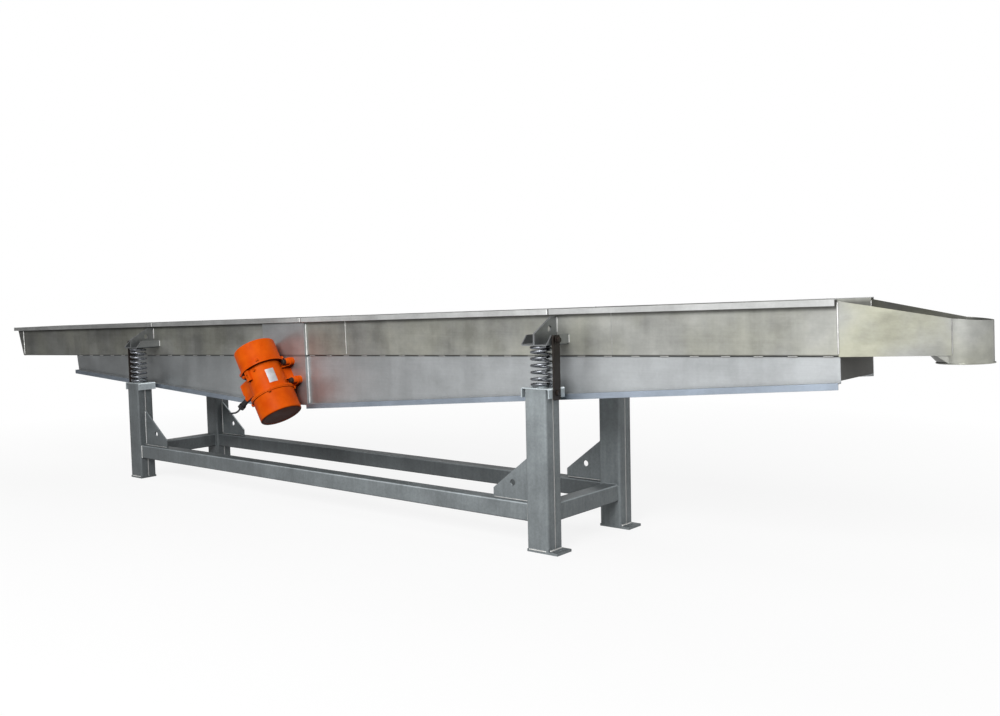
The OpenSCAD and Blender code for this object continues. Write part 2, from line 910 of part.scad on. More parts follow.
// Barrel, end flanges, bearing carriers, feet and terminal box in one casting
module motor_housing(side) {
    half = core_half - foot_edge;
    color(orange)
        in_motor(side)
            difference() {
                union() {
                    translate([0, 0, -core_half])
                        cylinder(d = barrel_d, h = 2 * core_half);
                    for (z = [-core_half, core_half - flange_t])
                        translate([0, 0, z])
                            cylinder(d = flange_d, h = flange_t);
                    translate([-base_x, 0, -half])
                        cube([2 * base_x, motor_base, 2 * half]);
                    at_feet()
                        translate([0, motor_base - foot_h, 0])
                            foot_lug();
                    for (x = [-1, 1], z = [-1, 1])
                        translate([x * (base_x + foot_pitch_x / 2) / 2, 0, z * foot_pitch_z / 2])
                            translate([-foot_pitch_x / 4 + base_x / 2, motor_base - foot_h, -foot_r])
                                cube([foot_pitch_x / 2 - base_x, foot_h, 2 * foot_r]);
                    for (x = [-1, 1], z = [-1, 1])
                        translate([x * foot_pitch_x / 2, 0, z * foot_pitch_z / 2])
                            mirror([x > 0 ? 1 : 0, 0, 0])
                                mirror([0, 0, z > 0 ? 1 : 0])
                                    translate([0, 0, foot_r - foot_rib])
                                        linear_extrude(foot_rib)
                                            polygon([
                                                [0, motor_base - foot_h],
                                                [foot_pitch_x / 2 - base_x, motor_base - foot_h],
                                                [foot_pitch_x / 2 - base_x, 20]
                                            ]);
                    translate([box_x, box_y[0], box_z[0]])
                        cube([-box_x, box_y[1] - box_y[0], box_z[1] - box_z[0]]);
                    at_gland()
                        mirror([1, 0, 0])
                            bar_x(gland_d + 4, gland_root);
                    translate([-34, -barrel_d / 2 + 6, core_half - flange_t - 16])
                        rotate([90, 0, 0])
                            cylinder(d = 16, h = 14);
                }
                translate([0, 0, -core_half - over])
                    cylinder(d = bearing_d, h = 2 * core_half + 2 * over);
                translate([0, 0, -core_half + bearing_w])
                    cylinder(d = stator_d, h = 2 * (core_half - bearing_w));
                translate([box_x - over, box_y[0] + box_wall, lid_low + box_wall])
                    cube([
                        box_depth + over, box_y[1] - box_y[0] - 2 * box_wall,
                        box_z[1] - lid_low - 2 * box_wall
                    ]);
                at_feet()
                    translate([0, motor_base - foot_h - over, 0])
                        bar_y(foot_bolt_d + foot_clear, foot_h + 2 * over);
            }
}

// Deep end cover with a rounded edge and a screwed rim
module end_cover(side, up) {
    color(orange)
        in_motor(side)
            mirror([0, 0, up ? 0 : 1])
                translate([0, 0, core_half]) {
                    rotate_extrude()
                        difference() {
                            union() {
                                square([cover_d / 2 - cover_r, cover_l]);
                                square([cover_d / 2, cover_l - cover_r]);
                                square([flange_d / 2 - 1, 6]);
                                translate([cover_d / 2 - cover_r, cover_l - cover_r])
                                    circle(cover_r);
                            }
                            translate([0, -over])
                                square([cover_d / 2 - cover_wall, cover_l - cover_wall + over]);
                        }
                    for (a = [45:90:315])
                        rotate(a)
                            translate([screw_r, 0, 0])
                                cylinder(d = 2 * screw_d, h = 8);
                    for (a = [45:90:315])
                        rotate(a)
                            translate([screw_r, 0, 8])
                                cylinder(d = 1.5 * screw_d / cos(30), h = 0.6 * screw_d, $fn = 6);
                }
}

module terminal_lid(side) {
    color(orange)
        in_motor(side)
            translate([box_x - lid_t, box_y[0], lid_low])
                cube([lid_t, box_y[1] - box_y[0], box_z[1] - lid_low]);
}

module stator(side) {
    color(dark)
        in_motor(side)
            translate([0, 0, -stator_l / 2])
                difference() {
                    cylinder(d = stator_d, h = stator_l);
                    translate([0, 0, -over])
                        cylinder(d = rotor_d + 2 * air_gap, h = stator_l + 2 * over);
                }
}

module rotor_bearings() {
    color(bright)
        for (side = sides, z = [-core_half, core_half - bearing_w])
            in_motor(side)
                translate([0, 0, z])
                    difference() {
                        cylinder(d = bearing_d, h = bearing_w);
                        translate([0, 0, -over])
                            cylinder(d = shaft_d + 2 * shaft_fit, h = bearing_w + 2 * over);
                    }
}

module rotor(side) {
    color(bright)
        in_motor(side) {
            translate([0, 0, -shaft_half])
                cylinder(d = shaft_d, h = 2 * shaft_half);
            translate([0, 0, -stator_l / 2])
                cylinder(d = rotor_d, h = stator_l);
        }
}

// Half disc on a hub, its heavy side towards -x
module weight() {
    linear_extrude(weight_t)
        difference() {
            union() {
                circle(d = 1.7 * shaft_d);
                intersection() {
                    circle(weight_r);
                    translate([-2 * weight_r, -weight_r])
                        square(2 * weight_r);
                }
            }
            circle(d = shaft_d);
        }
}

module weights(side) {
    color(dark)
        in_motor(side)
            for (up = [0, 1])
                mirror([0, 0, up])
                    for (k = [0, 1])
                        translate([0, 0, weight_start + k * (weight_t + weight_gap)])
                            rotate((2 * k - 1) * weight_turn)
                                weight();
}

module foot_bolts() {
    washer_t = 3;
    color(bright)
        for (side = sides)
            in_motor(side)
                at_feet()
                    translate([0, motor_base - foot_h, 0]) {
                        bar_y(foot_bolt_d, foot_h + plate_t);
                        mirror([0, 1, 0])
                            bar_y(1.9 * foot_bolt_d, washer_t);
                        mirror([0, 1, 0])
                            translate([0, washer_t, 0])
                                hex_y(1.5 * foot_bolt_d, foot_head);
                    }
}

module cable_glands() {
    color(dark)
        for (side = sides)
            in_motor(side)
                at_gland()
                    mirror([1, 0, 0])
                        translate([gland_root, 0, 0]) {
                            bar_x(gland_d, gland_l - gland_nut);
                            translate([gland_l - gland_nut, 0, 0])
                                hex_x(gland_hex, gland_nut);
                        }
}

// Tube swept along a route of points
module tube_along(route, start, d, n) {
    last = len(route) - 1;
    polyhedron(
        points = [
            for (k = [0:last])
                let (t = route[min(k + 1, last)] - route[max(k - 1, 0)],
                     a = k == 0 ? start : t / norm(t),
                     u = cross(a, [0, 1, 0]) / norm(cross(a, [0, 1, 0])),
                     v = cross(a, u))
                for (i = [0:n - 1])
                    route[k] + d / 2 * (cos(360 * i / n) * u + sin(360 * i / n) * v)
        ],
        faces = tube_faces(last + 1, n)
    );
}

module motor_lead() {
    color(dark)
        in_motor(front)
            tube_along(lead_route, gland_way, lead_d, lead_sides);
}

leg(front, feed);  // leg_front_feed
leg(front, discharge);  // leg_front_discharge
leg(rear, feed);  // leg_rear_feed
leg(rear, discharge);  // leg_rear_discharge
long_rail(front);  // long_rail_front
long_rail(rear);  // long_rail_rear
cross_rail(feed);  // cross_rail_feed
cross_rail(discharge);  // cross_rail_discharge
spring_seat(front, feed);  // spring_seat_front_feed
spring_seat(front, discharge);  // spring_seat_front_discharge
spring_seat(rear, feed);  // spring_seat_rear_feed
spring_seat(rear, discharge);  // spring_seat_rear_discharge
strap(front, feed);  // strap_front_feed
strap(front, discharge);  // strap_front_discharge
strap(rear, feed);  // strap_rear_feed
strap(rear, discharge);  // strap_rear_discharge
strap_bolts();
spring(front, feed);  // spring_front_feed
spring(front, discharge);  // spring_front_discharge
spring(rear, feed);  // spring_rear_feed
spring(rear, discharge);  // spring_rear_discharge
trough_pan();
feed_end();
discharge_taper();
discharge_spout();
rim(front);  // rim_front
rim(rear);  // rim_rear
keel_feed(front);  // keel_front_feed
keel_discharge(front);  // keel_front_discharge
keel_feed(rear);  // keel_rear_feed
keel_discharge(rear);  // keel_rear_discharge
keel_end_plate(feed);  // keel_end_feed
keel_end_plate(discharge);  // keel_end_discharge
cross_beam();
motor_plate(front);  // motor_plate_front
motor_plate(rear);  // motor_plate_rear
bracket(front, feed);  // bracket_front_feed
bracket(front, discharge);  // bracket_front_discharge
bracket(rear, feed);  // bracket_rear_feed
bracket(rear, discharge);  // bracket_rear_discharge
keeper_bolts();
motor_housing(front);  // motor_housing_front
motor_housing(rear);  // motor_housing_rear
end_cover(front, true);  // upper_cover_front
end_cover(rear, true);  // upper_cover_rear
end_cover(front, false);  // lower_cover_front
end_cover(rear, false);  // lower_cover_rear
terminal_lid(front);  // terminal_lid_front
terminal_lid(rear);  // terminal_lid_rear
stator(front);  // stator_front
stator(rear);  // stator_rear
rotor_bearings();
rotor(front);  // rotor_front
rotor(rear);  // rotor_rear
weights(front);  // weights_front
weights(rear);  // weights_rear
foot_bolts();
cable_glands();
motor_lead();
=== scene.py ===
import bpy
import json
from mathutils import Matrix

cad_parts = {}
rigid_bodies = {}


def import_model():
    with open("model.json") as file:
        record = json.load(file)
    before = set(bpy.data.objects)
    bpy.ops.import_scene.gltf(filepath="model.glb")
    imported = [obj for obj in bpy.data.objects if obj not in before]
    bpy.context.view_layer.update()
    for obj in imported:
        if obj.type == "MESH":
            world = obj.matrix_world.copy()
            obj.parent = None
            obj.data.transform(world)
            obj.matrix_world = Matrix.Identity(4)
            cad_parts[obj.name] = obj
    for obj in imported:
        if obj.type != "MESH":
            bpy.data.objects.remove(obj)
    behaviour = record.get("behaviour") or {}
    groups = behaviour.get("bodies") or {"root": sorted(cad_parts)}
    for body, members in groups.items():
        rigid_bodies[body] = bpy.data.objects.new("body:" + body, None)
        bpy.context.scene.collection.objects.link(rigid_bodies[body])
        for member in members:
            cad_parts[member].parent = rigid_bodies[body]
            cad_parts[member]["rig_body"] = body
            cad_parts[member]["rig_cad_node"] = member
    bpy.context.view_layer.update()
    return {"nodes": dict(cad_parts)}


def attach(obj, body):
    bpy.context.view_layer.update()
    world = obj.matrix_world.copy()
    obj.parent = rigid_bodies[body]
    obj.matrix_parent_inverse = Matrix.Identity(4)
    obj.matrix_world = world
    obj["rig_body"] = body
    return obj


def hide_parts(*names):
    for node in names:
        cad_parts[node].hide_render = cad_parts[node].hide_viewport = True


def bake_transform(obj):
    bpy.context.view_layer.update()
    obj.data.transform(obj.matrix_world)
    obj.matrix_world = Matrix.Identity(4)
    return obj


bl_info = {
    "name": "Linear vibratory feeder finish",
    "version": (1, 0, 0),
    "blender": (4, 5, 0),
    "location": "View3D > Sidebar > Feeder",
    "description": "Finishes and fine pieces of a long trough feeder on coil springs",
    "category": "Object",
}

import json
import math

import bpy
from mathutils import Matrix, Vector
from mathutils import noise as solid_noise

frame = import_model()

MM = 0.001
SIDES = {"front": -1, "rear": 1}
ENDS = {"feed": -1, "discharge": 1}

# Sizes shared with the CAD part, in metres
GLAND_AT = Vector((-0.098, -0.056, -0.027))
GLAND_WAY = Vector((-0.95957, -0.16920, -0.22495))
GLAND_ROOT = 0.015
GLAND_L = 0.066
GLAND_MOUTH = GLAND_AT + (GLAND_ROOT + GLAND_L) * GLAND_WAY
LEG_TOP = {"feed": 0.515, "discharge": 0.616}
SEAT_SHEET = 0.005
SPRING_LENGTH = {"feed": 0.187, "discharge": 0.156}
LEG_MIDDLE = (1.375, 0.247)
LEG_SIZE = (0.100, 0.090)
FRAME_HALF = (1.425, 0.292)
PAN_Z = 0.694
INCLINE = math.atan(0.070 / 2.750)
DRIVE = math.radians(30)
MOTOR_BACK = 0.230
MOTOR_DROP = 0.113
MOTOR_Y = 0.272
REAR_LIFT = 0.042
CORE_HALF = 0.075
COVER_R = 0.099
COVER_L = 0.108
FLANGE_R = 0.105
BARREL_R = 0.086
PAN_HALF = 0.151
PAN_ENDS = (-2.886, 2.466)
PLATE_ENDS = (-0.39094, -0.08006)
BRACKET_TOP = {"feed": 0.707, "discharge": 0.777}

# Where finishes and welds lie
# Painted shade: colours darken toward the feed end over this stretch of x, standing in for weaker
# light there
SHADED_LENGTH = (-2.5, 0.5)
FEED_SEAM = PAN_ENDS[0] + 0.012
SPOUT_SEAM = (2.7835, 0.0785)
PAN_JOINTS = (0.195, 1.628)
RIPPLE = 0.005
FOOT_SPOTS = [(x, z) for x in (-0.090, 0.090) for z in (-0.050, 0.050)]


# ---- Sizes and colours a user would change ----


COLOUR = {"subtype": "COLOR", "size": 3, "min": 0, "max": 1}


class FeederFinish(bpy.types.PropertyGroup):
    """Colours and wear of the feeder"""

    stainless: bpy.props.FloatVectorProperty(
        name="Trough sheet", description="Brushed stainless of the trough walls",
        default=(0.40, 0.405, 0.38), **COLOUR,
    )
    keel: bpy.props.FloatVectorProperty(
        name="Keel sheet", description="Cooler brushed stainless of the keels",
        default=(0.47, 0.49, 0.50), **COLOUR,
    )
    rim: bpy.props.FloatVectorProperty(
        name="Rim", description="Bright folded rims",
        default=(0.72, 0.73, 0.72), **COLOUR,
    )
    paint: bpy.props.FloatVectorProperty(
        name="Frame paint", description="Grey-blue paint of the frame",
        default=(0.235, 0.26, 0.27), **COLOUR,
    )
    motor: bpy.props.FloatVectorProperty(
        name="Motor paint", description="Orange enamel of the motors",
        default=(0.76, 0.098, 0.003), **COLOUR,
    )
    strap: bpy.props.FloatVectorProperty(
        name="Straps", description="Dark brown paint of the retaining straps",
        default=(0.022, 0.016, 0.013), **COLOUR,
    )
    # Painted shade: how far colours darken toward the feed end, standing in for weaker light
    # there; the sheet itself is no duller
    feed_painted_shade: bpy.props.FloatProperty(
        name="Feed end shade", description="How much duller the feed end's sheet is",
        subtype="FACTOR", min=0, max=1, default=0.42,
    )


class FeederStudio(bpy.types.PropertyGroup):
    """Camera and lamps"""

    focal: bpy.props.FloatProperty(
        name="Lens", description="Focal length of the camera", unit="CAMERA",
        min=10, max=200, default=36.63,
    )
    place: bpy.props.FloatVectorProperty(
        name="Camera", description="Place of the camera", unit="LENGTH", size=3,
        default=(3.66087, -3.27209, 1.00378),
    )
    turn: bpy.props.FloatVectorProperty(
        name="Turn", description="Yaw, pitch and roll of the camera", subtype="EULER",
        size=3, default=(math.radians(39.4706), math.radians(-3.9338), math.radians(-1.2685)),
    )
    key: bpy.props.FloatProperty(
        name="Key lamp", description="Power of the key lamp", unit="POWER",
        min=0, max=3000, default=480,
    )
    ambient: bpy.props.FloatProperty(
        name="Ambient", description="Strength of the light from all round",
        min=0, max=2, default=0.46,
    )


# ---- Small helpers ----


def nothing_selected():
    """Leaves every object deselected and no object in edit mode."""
    if bpy.context.object and bpy.context.object.mode != "OBJECT":
        bpy.ops.object.mode_set(mode="OBJECT")
    bpy.ops.object.select_all(action="DESELECT")


def active_piece():
    return bpy.context.view_layer.objects.active


def pick(*objects):
    """Selects these objects and makes the first one active."""
    nothing_selected()
    for o in objects:
        o.select_set(True)
    bpy.context.view_layer.objects.active = objects[0]


def edit_faces(piece, wanted):
    """Opens a piece in edit mode with only the faces that pass wanted(face) selected."""
    pick(piece)
    for p in piece.data.polygons:
        p.select = bool(wanted(p))
    chosen = {v for p in piece.data.polygons if p.select for v in p.vertices}
    keys = {k for p in piece.data.polygons if p.select for k in p.edge_keys}
    for v in piece.data.vertices:
        v.select = v.index in chosen
    for e in piece.data.edges:
        e.select = e.key in keys
    bpy.ops.object.mode_set(mode="EDIT")
    bpy.ops.mesh.select_mode(type="FACE")


def edit_all(piece):
    """Opens a piece in edit mode with everything selected."""
    pick(piece)
    bpy.ops.object.mode_set(mode="EDIT")
    bpy.ops.mesh.select_all(action="SELECT")


def done_editing():
    bpy.ops.object.mode_set(mode="OBJECT")


def joined(name, parts):
    """Joins several closed shells into one piece."""
    pick(*parts)
    if len(parts) > 1:
        bpy.ops.object.join()
    whole = active_piece()
    whole.name = whole.data.name = name
    return whole


def put(piece, matrix):
    """Moves a piece's mesh, so its object stays at the origin."""
    pick(piece)
    bpy.ops.object.transform_apply(location=True, rotation=True, scale=True)
    piece.data.transform(matrix)
    if matrix.to_3x3().determinant() < 0:
        edit_all(piece)
        bpy.ops.mesh.flip_normals()
        done_editing()
    piece.data.update()
    return piece


def copy_of(piece, name):
    """A copy with a mesh of its own."""
    pick(piece)
    bpy.ops.object.duplicate(linked=False)
    other = active_piece()
    other.name = other.data.name = name
    return other


def smooth(piece, angle=35):
    pick(piece)
    bpy.ops.object.shade_smooth_by_angle(angle=math.radians(angle))
    return piece


def rounded_edges(piece, width, segments=2, angle=30, harden=False):
    """Bevels a piece's sharp edges and keeps the result."""
    pick(piece)
    bpy.ops.object.modifier_add(type="BEVEL")
    bevel = piece.modifiers[-1]
    bevel.width = width
    bevel.segments = segments
    bevel.limit_method = "ANGLE"
    bevel.angle_limit = math.radians(angle)
    if harden:
        bevel.miter_outer = "MITER_ARC"
    bevel.harden_normals = harden
    bpy.ops.object.modifier_apply(modifier=bevel.name)


def finish_piece(piece, body, material, stands_for=()):
    """Gives a finished piece its material and body, and hides the CAD nodes it stands for."""
    piece.data.materials.clear()
    piece.data.materials.append(material)
    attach(piece, body)
    if stands_for:
        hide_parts(*stands_for)
    return piece


def box_piece(low, high):
    """A block between two corners."""
    nothing_selected()
    low, high = Vector(low), Vector(high)
    bpy.ops.mesh.primitive_cube_add(size=1, location=(low + high) / 2)
    block = active_piece()
    block.scale = high - low
    bpy.ops.object.transform_apply(location=True, rotation=True, scale=True)
    return block


def lathe(profile, steps=96):
    """Spins a closed outline of (radius, height) points about the z axis."""
    nothing_selected()
    bpy.ops.mesh.primitive_circle_add(vertices=len(profile), radius=1)
    ring = active_piece()
    for v, (r, z) in zip(ring.data.vertices, profile):
        v.co = (r, 0, z)
    edit_all(ring)
    bpy.ops.mesh.spin(
        steps=steps, angle=2 * math.pi, center=(0, 0, 0), axis=(0, 0, 1), use_auto_merge=True
    )
    bpy.ops.mesh.select_all(action="SELECT")
    bpy.ops.mesh.remove_doubles(threshold=1e-6)
    bpy.ops.mesh.normals_make_consistent(inside=False)
    done_editing()
    return ring


def turned_to(piece, start, toward):
    """Moves a piece made along z so that it starts at a point and runs toward a direction."""
    turn = Vector(toward).to_track_quat("Z", "Y").to_matrix().to_4x4()
    return put(piece, Matrix.Translation(Vector(start)) @ turn)


def hex_head(across, height, start, toward, washer=None, washer_t=0.003):
    """A hexagon bolt head with a chamfered top, on a washer if a radius is given."""
    nothing_selected()
    bpy.ops.mesh.primitive_cylinder_add(
        vertices=6, radius=across / math.sqrt(3), depth=height, location=(0, 0, height / 2)
    )
    head = active_piece()
    bpy.ops.object.transform_apply(location=True, rotation=True, scale=True)
    edit_faces(head, lambda p: p.normal.z > 0.9)
    bpy.ops.mesh.inset(thickness=across * 0.06, depth=0)
    done_editing()
    outer = max(math.hypot(v.co.x, v.co.y) for v in head.data.vertices)
    for v in head.data.vertices:
        if v.co.z > height * 0.9 and math.hypot(v.co.x, v.co.y) > outer * 0.97:
            v.co.z -= height * 0.16
    rounded_edges(head, across * 0.02, 1)
    parts = [head]
    if washer:
        ring = lathe([
            (across * 0.3, 0), (washer - 0.0004, 0), (washer, 0.0004), (washer, washer_t - 0.0004),
            (washer - 0.0004, washer_t), (across * 0.3, washer_t),
        ], 48)
        put(head, Matrix.Translation((0, 0, washer_t)))
        parts.append(ring)
    return turned_to(joined("hex_head", parts), start, toward)


def rod(points, radius, fineness, sizes=None):
    """A curve piece along points, whose thickness can follow sizes."""
    nothing_selected()
    bpy.ops.curve.primitive_nurbs_path_add(location=(0, 0, 0))
    curve = active_piece()
    curve.data.splines.clear()
    line = curve.data.splines.new("POLY")
    line.points.add(len(points) - 1)
    for q, p, size in zip(line.points, points, sizes or [1] * len(points)):
        q.co = (*p, 1)
        q.radius = size
    curve.data.dimensions = "3D"
    curve.data.bevel_depth = radius
    curve.data.bevel_resolution = fineness
    curve.data.use_fill_caps = True
    return curve


def as_mesh(piece):
    pick(piece)
    bpy.ops.object.convert(target="MESH")
    return active_piece()


def weld(points, radius):
    """A rippled weld bead along a line of points."""
    points = [Vector(p) for p in points]
    stops, sizes, travelled = [], [], 0.0
    for a, b in zip(points, points[1:]):
        steps = max(2, round((b - a).length / (RIPPLE / 3)))
        for k in range(steps + (b == points[-1])):
            stops.append(a.lerp(b, k / steps))
            wave = math.sin(2 * math.pi * travelled / RIPPLE)
            drift = solid_noise.noise(Vector((travelled * 40, radius * 900, a.x * 7)))
            sizes.append(0.86 + 0.13 * wave + 0.12 * drift)
            travelled += (b - a).length / steps
    sizes[0] = sizes[-1] = 0.35
    return as_mesh(rod(stops, radius, 1, sizes))


def cad_copy(name, label):
    """A merged copy of a CAD node, ready to be shaped further."""
    piece = copy_of(frame["nodes"][name], label)
    piece.parent = None
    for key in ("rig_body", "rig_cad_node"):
        del piece[key]
    pick(piece)
    if piece.data.has_custom_normals:
        bpy.ops.mesh.customdata_custom_splitnormals_clear()
    edit_all(piece)
    bpy.ops.mesh.remove_doubles(threshold=2e-5)
    bpy.ops.mesh.dissolve_limited(angle_limit=math.radians(0.5))
    done_editing()
    return piece


def eased(piece, width, segments=2, angle=40):
    """Rounds a piece's sharp edges, flat faces keeping their flat shading."""
    smooth(piece, angle)
    rounded_edges(piece, width, segments, angle, harden=True)
    return piece


def dressed(name, suffix, width, finish):
    """A copy of a CAD node with eased edges that stands for it."""
    body = frame["nodes"][name]["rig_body"]
    piece = eased(cad_copy(name, f"{name}_{suffix}"), width)
    return finish_piece(piece, body, finishes[finish], [name])


def lay_beads(lines, place):
    """Welds lines on the front and the rear: (points, radius, the list its beads go in)."""
    for points, radius, beads in lines:
        points = [place @ Vector(p) for p in points]
        for s in (-1, 1):
            beads.append(weld([(x, s * y, z) for x, y, z in points], radius))


def join_beads(body, slot, *groups):
    for name, beads, finish in groups:
        finish_piece(smooth(joined(name, beads), 60), body, finishes[finish])


def trough_matrix():
    """From the level trough to its place on the springs."""
    return Matrix.Translation((0, 0, PAN_Z)) @ Matrix.Rotation(-INCLINE, 4, "Y")


def motor_matrix(side):
    """From a motor's own frame, its shaft along z, to its place."""
    lift = REAR_LIFT if side == "rear" else 0
    mirror = Matrix.Diagonal((1, -1, 1, 1)) if side == "rear" else Matrix.Identity(4)
    return (
        trough_matrix() @ mirror
        @ Matrix.Translation((-MOTOR_BACK, -MOTOR_Y, -MOTOR_DROP))
        @ Matrix.Rotation(-DRIVE, 4, "Y") @ Matrix.Translation((0, 0, lift))
    )


# ---- Materials ----


def new_material(name):
    m = bpy.data.materials.new(name)
    m.use_nodes = True
    return m, m.node_tree, m.node_tree.nodes["Principled BSDF"]


def add_node(tree, kind, settings=None, **inputs):
    """Adds a node; keyword names are its input names with _ for spaces."""
    n = tree.nodes.new(kind)
    for key, value in (settings or {}).items():
        setattr(n, key, value)
    for key, value in inputs.items():
        socket = n.inputs[key.replace("_", " ")]
        if hasattr(value, "is_output"):
            tree.links.new(value, socket)
        else:
            socket.default_value = value
    return n


def object_place(tree):
    return add_node(tree, "ShaderNodeTexCoord").outputs["Object"]


def coordinate(tree, axis):
    """A coordinate in object space."""
    return add_node(tree, "ShaderNodeSeparateXYZ", Vector=object_place(tree)).outputs[axis]


def facing(tree, axis):
    """How far a face looks along an axis, from -1 to 1."""
    normal = add_node(tree, "ShaderNodeNewGeometry").outputs["Normal"]
    return add_node(tree, "ShaderNodeSeparateXYZ", Vector=normal).outputs[axis]


def pattern(tree, scale, size, detail=4, roughness=0.55):
    """Noise in object space, stretched by scale."""
    mapping = add_node(tree, "ShaderNodeMapping", Vector=object_place(tree), Scale=scale)
    return add_node(
        tree, "ShaderNodeTexNoise", Vector=mapping.outputs["Vector"], Scale=size,
        Detail=detail, Roughness=roughness,
    ).outputs["Fac"]


def spread(tree, value, low, high, to_low, to_high):
    """Maps a value's range to another."""
    n = add_node(tree, "ShaderNodeMapRange", Value=value)
    n.inputs["From Min"].default_value = low
    n.inputs["From Max"].default_value = high
    n.inputs["To Min"].default_value = to_low
    n.inputs["To Max"].default_value = to_high
    return n.outputs["Result"]


def arith(tree, operation, a, b):
    """A Math node on two values, each a number or another node's output."""
    n = tree.nodes.new("ShaderNodeMath")
    n.operation = operation
    for socket, value in zip(n.inputs, (a, b)):
        if hasattr(value, "is_output"):
            tree.links.new(value, socket)
        else:
            socket.default_value = value
    return n.outputs[0]


def dimmed(colour, factor):
    return [c * factor for c in colour]


def mottled(tree, clouds, low, high, colour, dark, light):
    """A colour that goes from times dark to times light as clouds go from low to high."""
    n = add_node(tree, "ShaderNodeMix", {"data_type": "RGBA", "clamp_factor": True})
    tree.links.new(spread(tree, clouds, low, high, 0, 1), n.inputs["Factor"])
    for socket, tones in ((n.inputs[6], dark), (n.inputs[7], light)):
        socket.default_value = (*(min(1, c * tone) for c, tone in zip(colour, tones)), 1)
    return n.outputs[2]


def toned(tree, base, value, low, high, to_low, to_high):
    """A colour scaled by a factor that follows a value's range."""
    factor = spread(tree, value, low, high, to_low, to_high)
    n = add_node(tree, "ShaderNodeVectorMath", {"operation": "SCALE"}, Vector=base, Scale=factor)
    return n.outputs["Vector"]


def tinged(tree, base, colour, amount):
    """A colour multiplied by another as far as amount, from 0 to 1, says."""
    n = add_node(tree, "ShaderNodeMix", {"data_type": "RGBA", "blend_type": "MULTIPLY"})
    tree.links.new(amount, n.inputs["Factor"])
    tree.links.new(base, n.inputs[6])
    n.inputs[7].default_value = (*colour, 1)
    return n.outputs[2]


def surfaced(tree, shader, base, roughness, bump, **constants):
    """Ends a finish with its colour, roughness, (height, distance, strength) bumps and rest."""
    height, distance, strength = bump
    n = add_node(tree, "ShaderNodeBump", Height=height, Strength=strength, Distance=distance)
    tree.links.new(base, shader.inputs["Base Color"])
    tree.links.new(roughness, shader.inputs["Roughness"])
    tree.links.new(n.outputs["Normal"], shader.inputs["Normal"])
    for key, value in constants.items():
        shader.inputs[key.replace("_", " ")].default_value = value


def along_trough(tree):
    """0 at the feed end, 1 at the discharge end."""
    return spread(tree, coordinate(tree, "X"), *SHADED_LENGTH, 0, 1)


def shaded_below(tree, base, underside_shade_tone):
    """Paints shade on faces that look down, which little light reaches."""
    return toned(tree, base, facing(tree, "Z"), -0.8, -0.25, underside_shade_tone, 1)


def shaded_tops_lit_edges(tree, base, top_shade_tone, edge_highlight_tone=1.0):
    """Paints shade on level tops and a bright highlight on the edges round them."""
    up = facing(tree, "Z")
    base = toned(tree, base, up, 0.25, 0.45, 1, edge_highlight_tone)
    return toned(tree, base, up, 0.85, 0.97, 1, top_shade_tone / edge_highlight_tone)


def height_in_trough(tree):
    """Height over the trough's underside, square to its slope."""
    level = add_node(
        tree, "ShaderNodeVectorMath", {"operation": "DOT_PRODUCT"}, Vector=object_place(tree)
    )
    level.inputs[1].default_value = (-math.sin(INCLINE), 0, math.cos(INCLINE))
    return arith(tree, "ADD", level.outputs["Value"], -PAN_Z * math.cos(INCLINE))


def painted_shade_lines(tree, base, lines):
    """Thin bands of painted shade at given heights in the trough: (height, half width, how dark).
    """
    w = height_in_trough(tree)
    for height, half, dark in lines:
        off = arith(tree, "ABSOLUTE", arith(tree, "SUBTRACT", w, height), 0)
        base = toned(tree, base, off, 0.3 * half, half, 1 - dark, 1)
    return base


def sections(tree, base, tones):
    """Gives lengths of a strip their own tone, with a dark gap between: (end x, tone)."""
    x = coordinate(tree, "X")
    for (end, tone), (_, after) in zip(tones, tones[1:]):
        base = toned(tree, base, x, end - 0.001, end + 0.001, 1, after / tone)
        off = arith(tree, "ABSOLUTE", arith(tree, "SUBTRACT", x, end), 0)
        base = toned(tree, base, off, 0.0025, 0.0035, 0.15, 1)
    return base


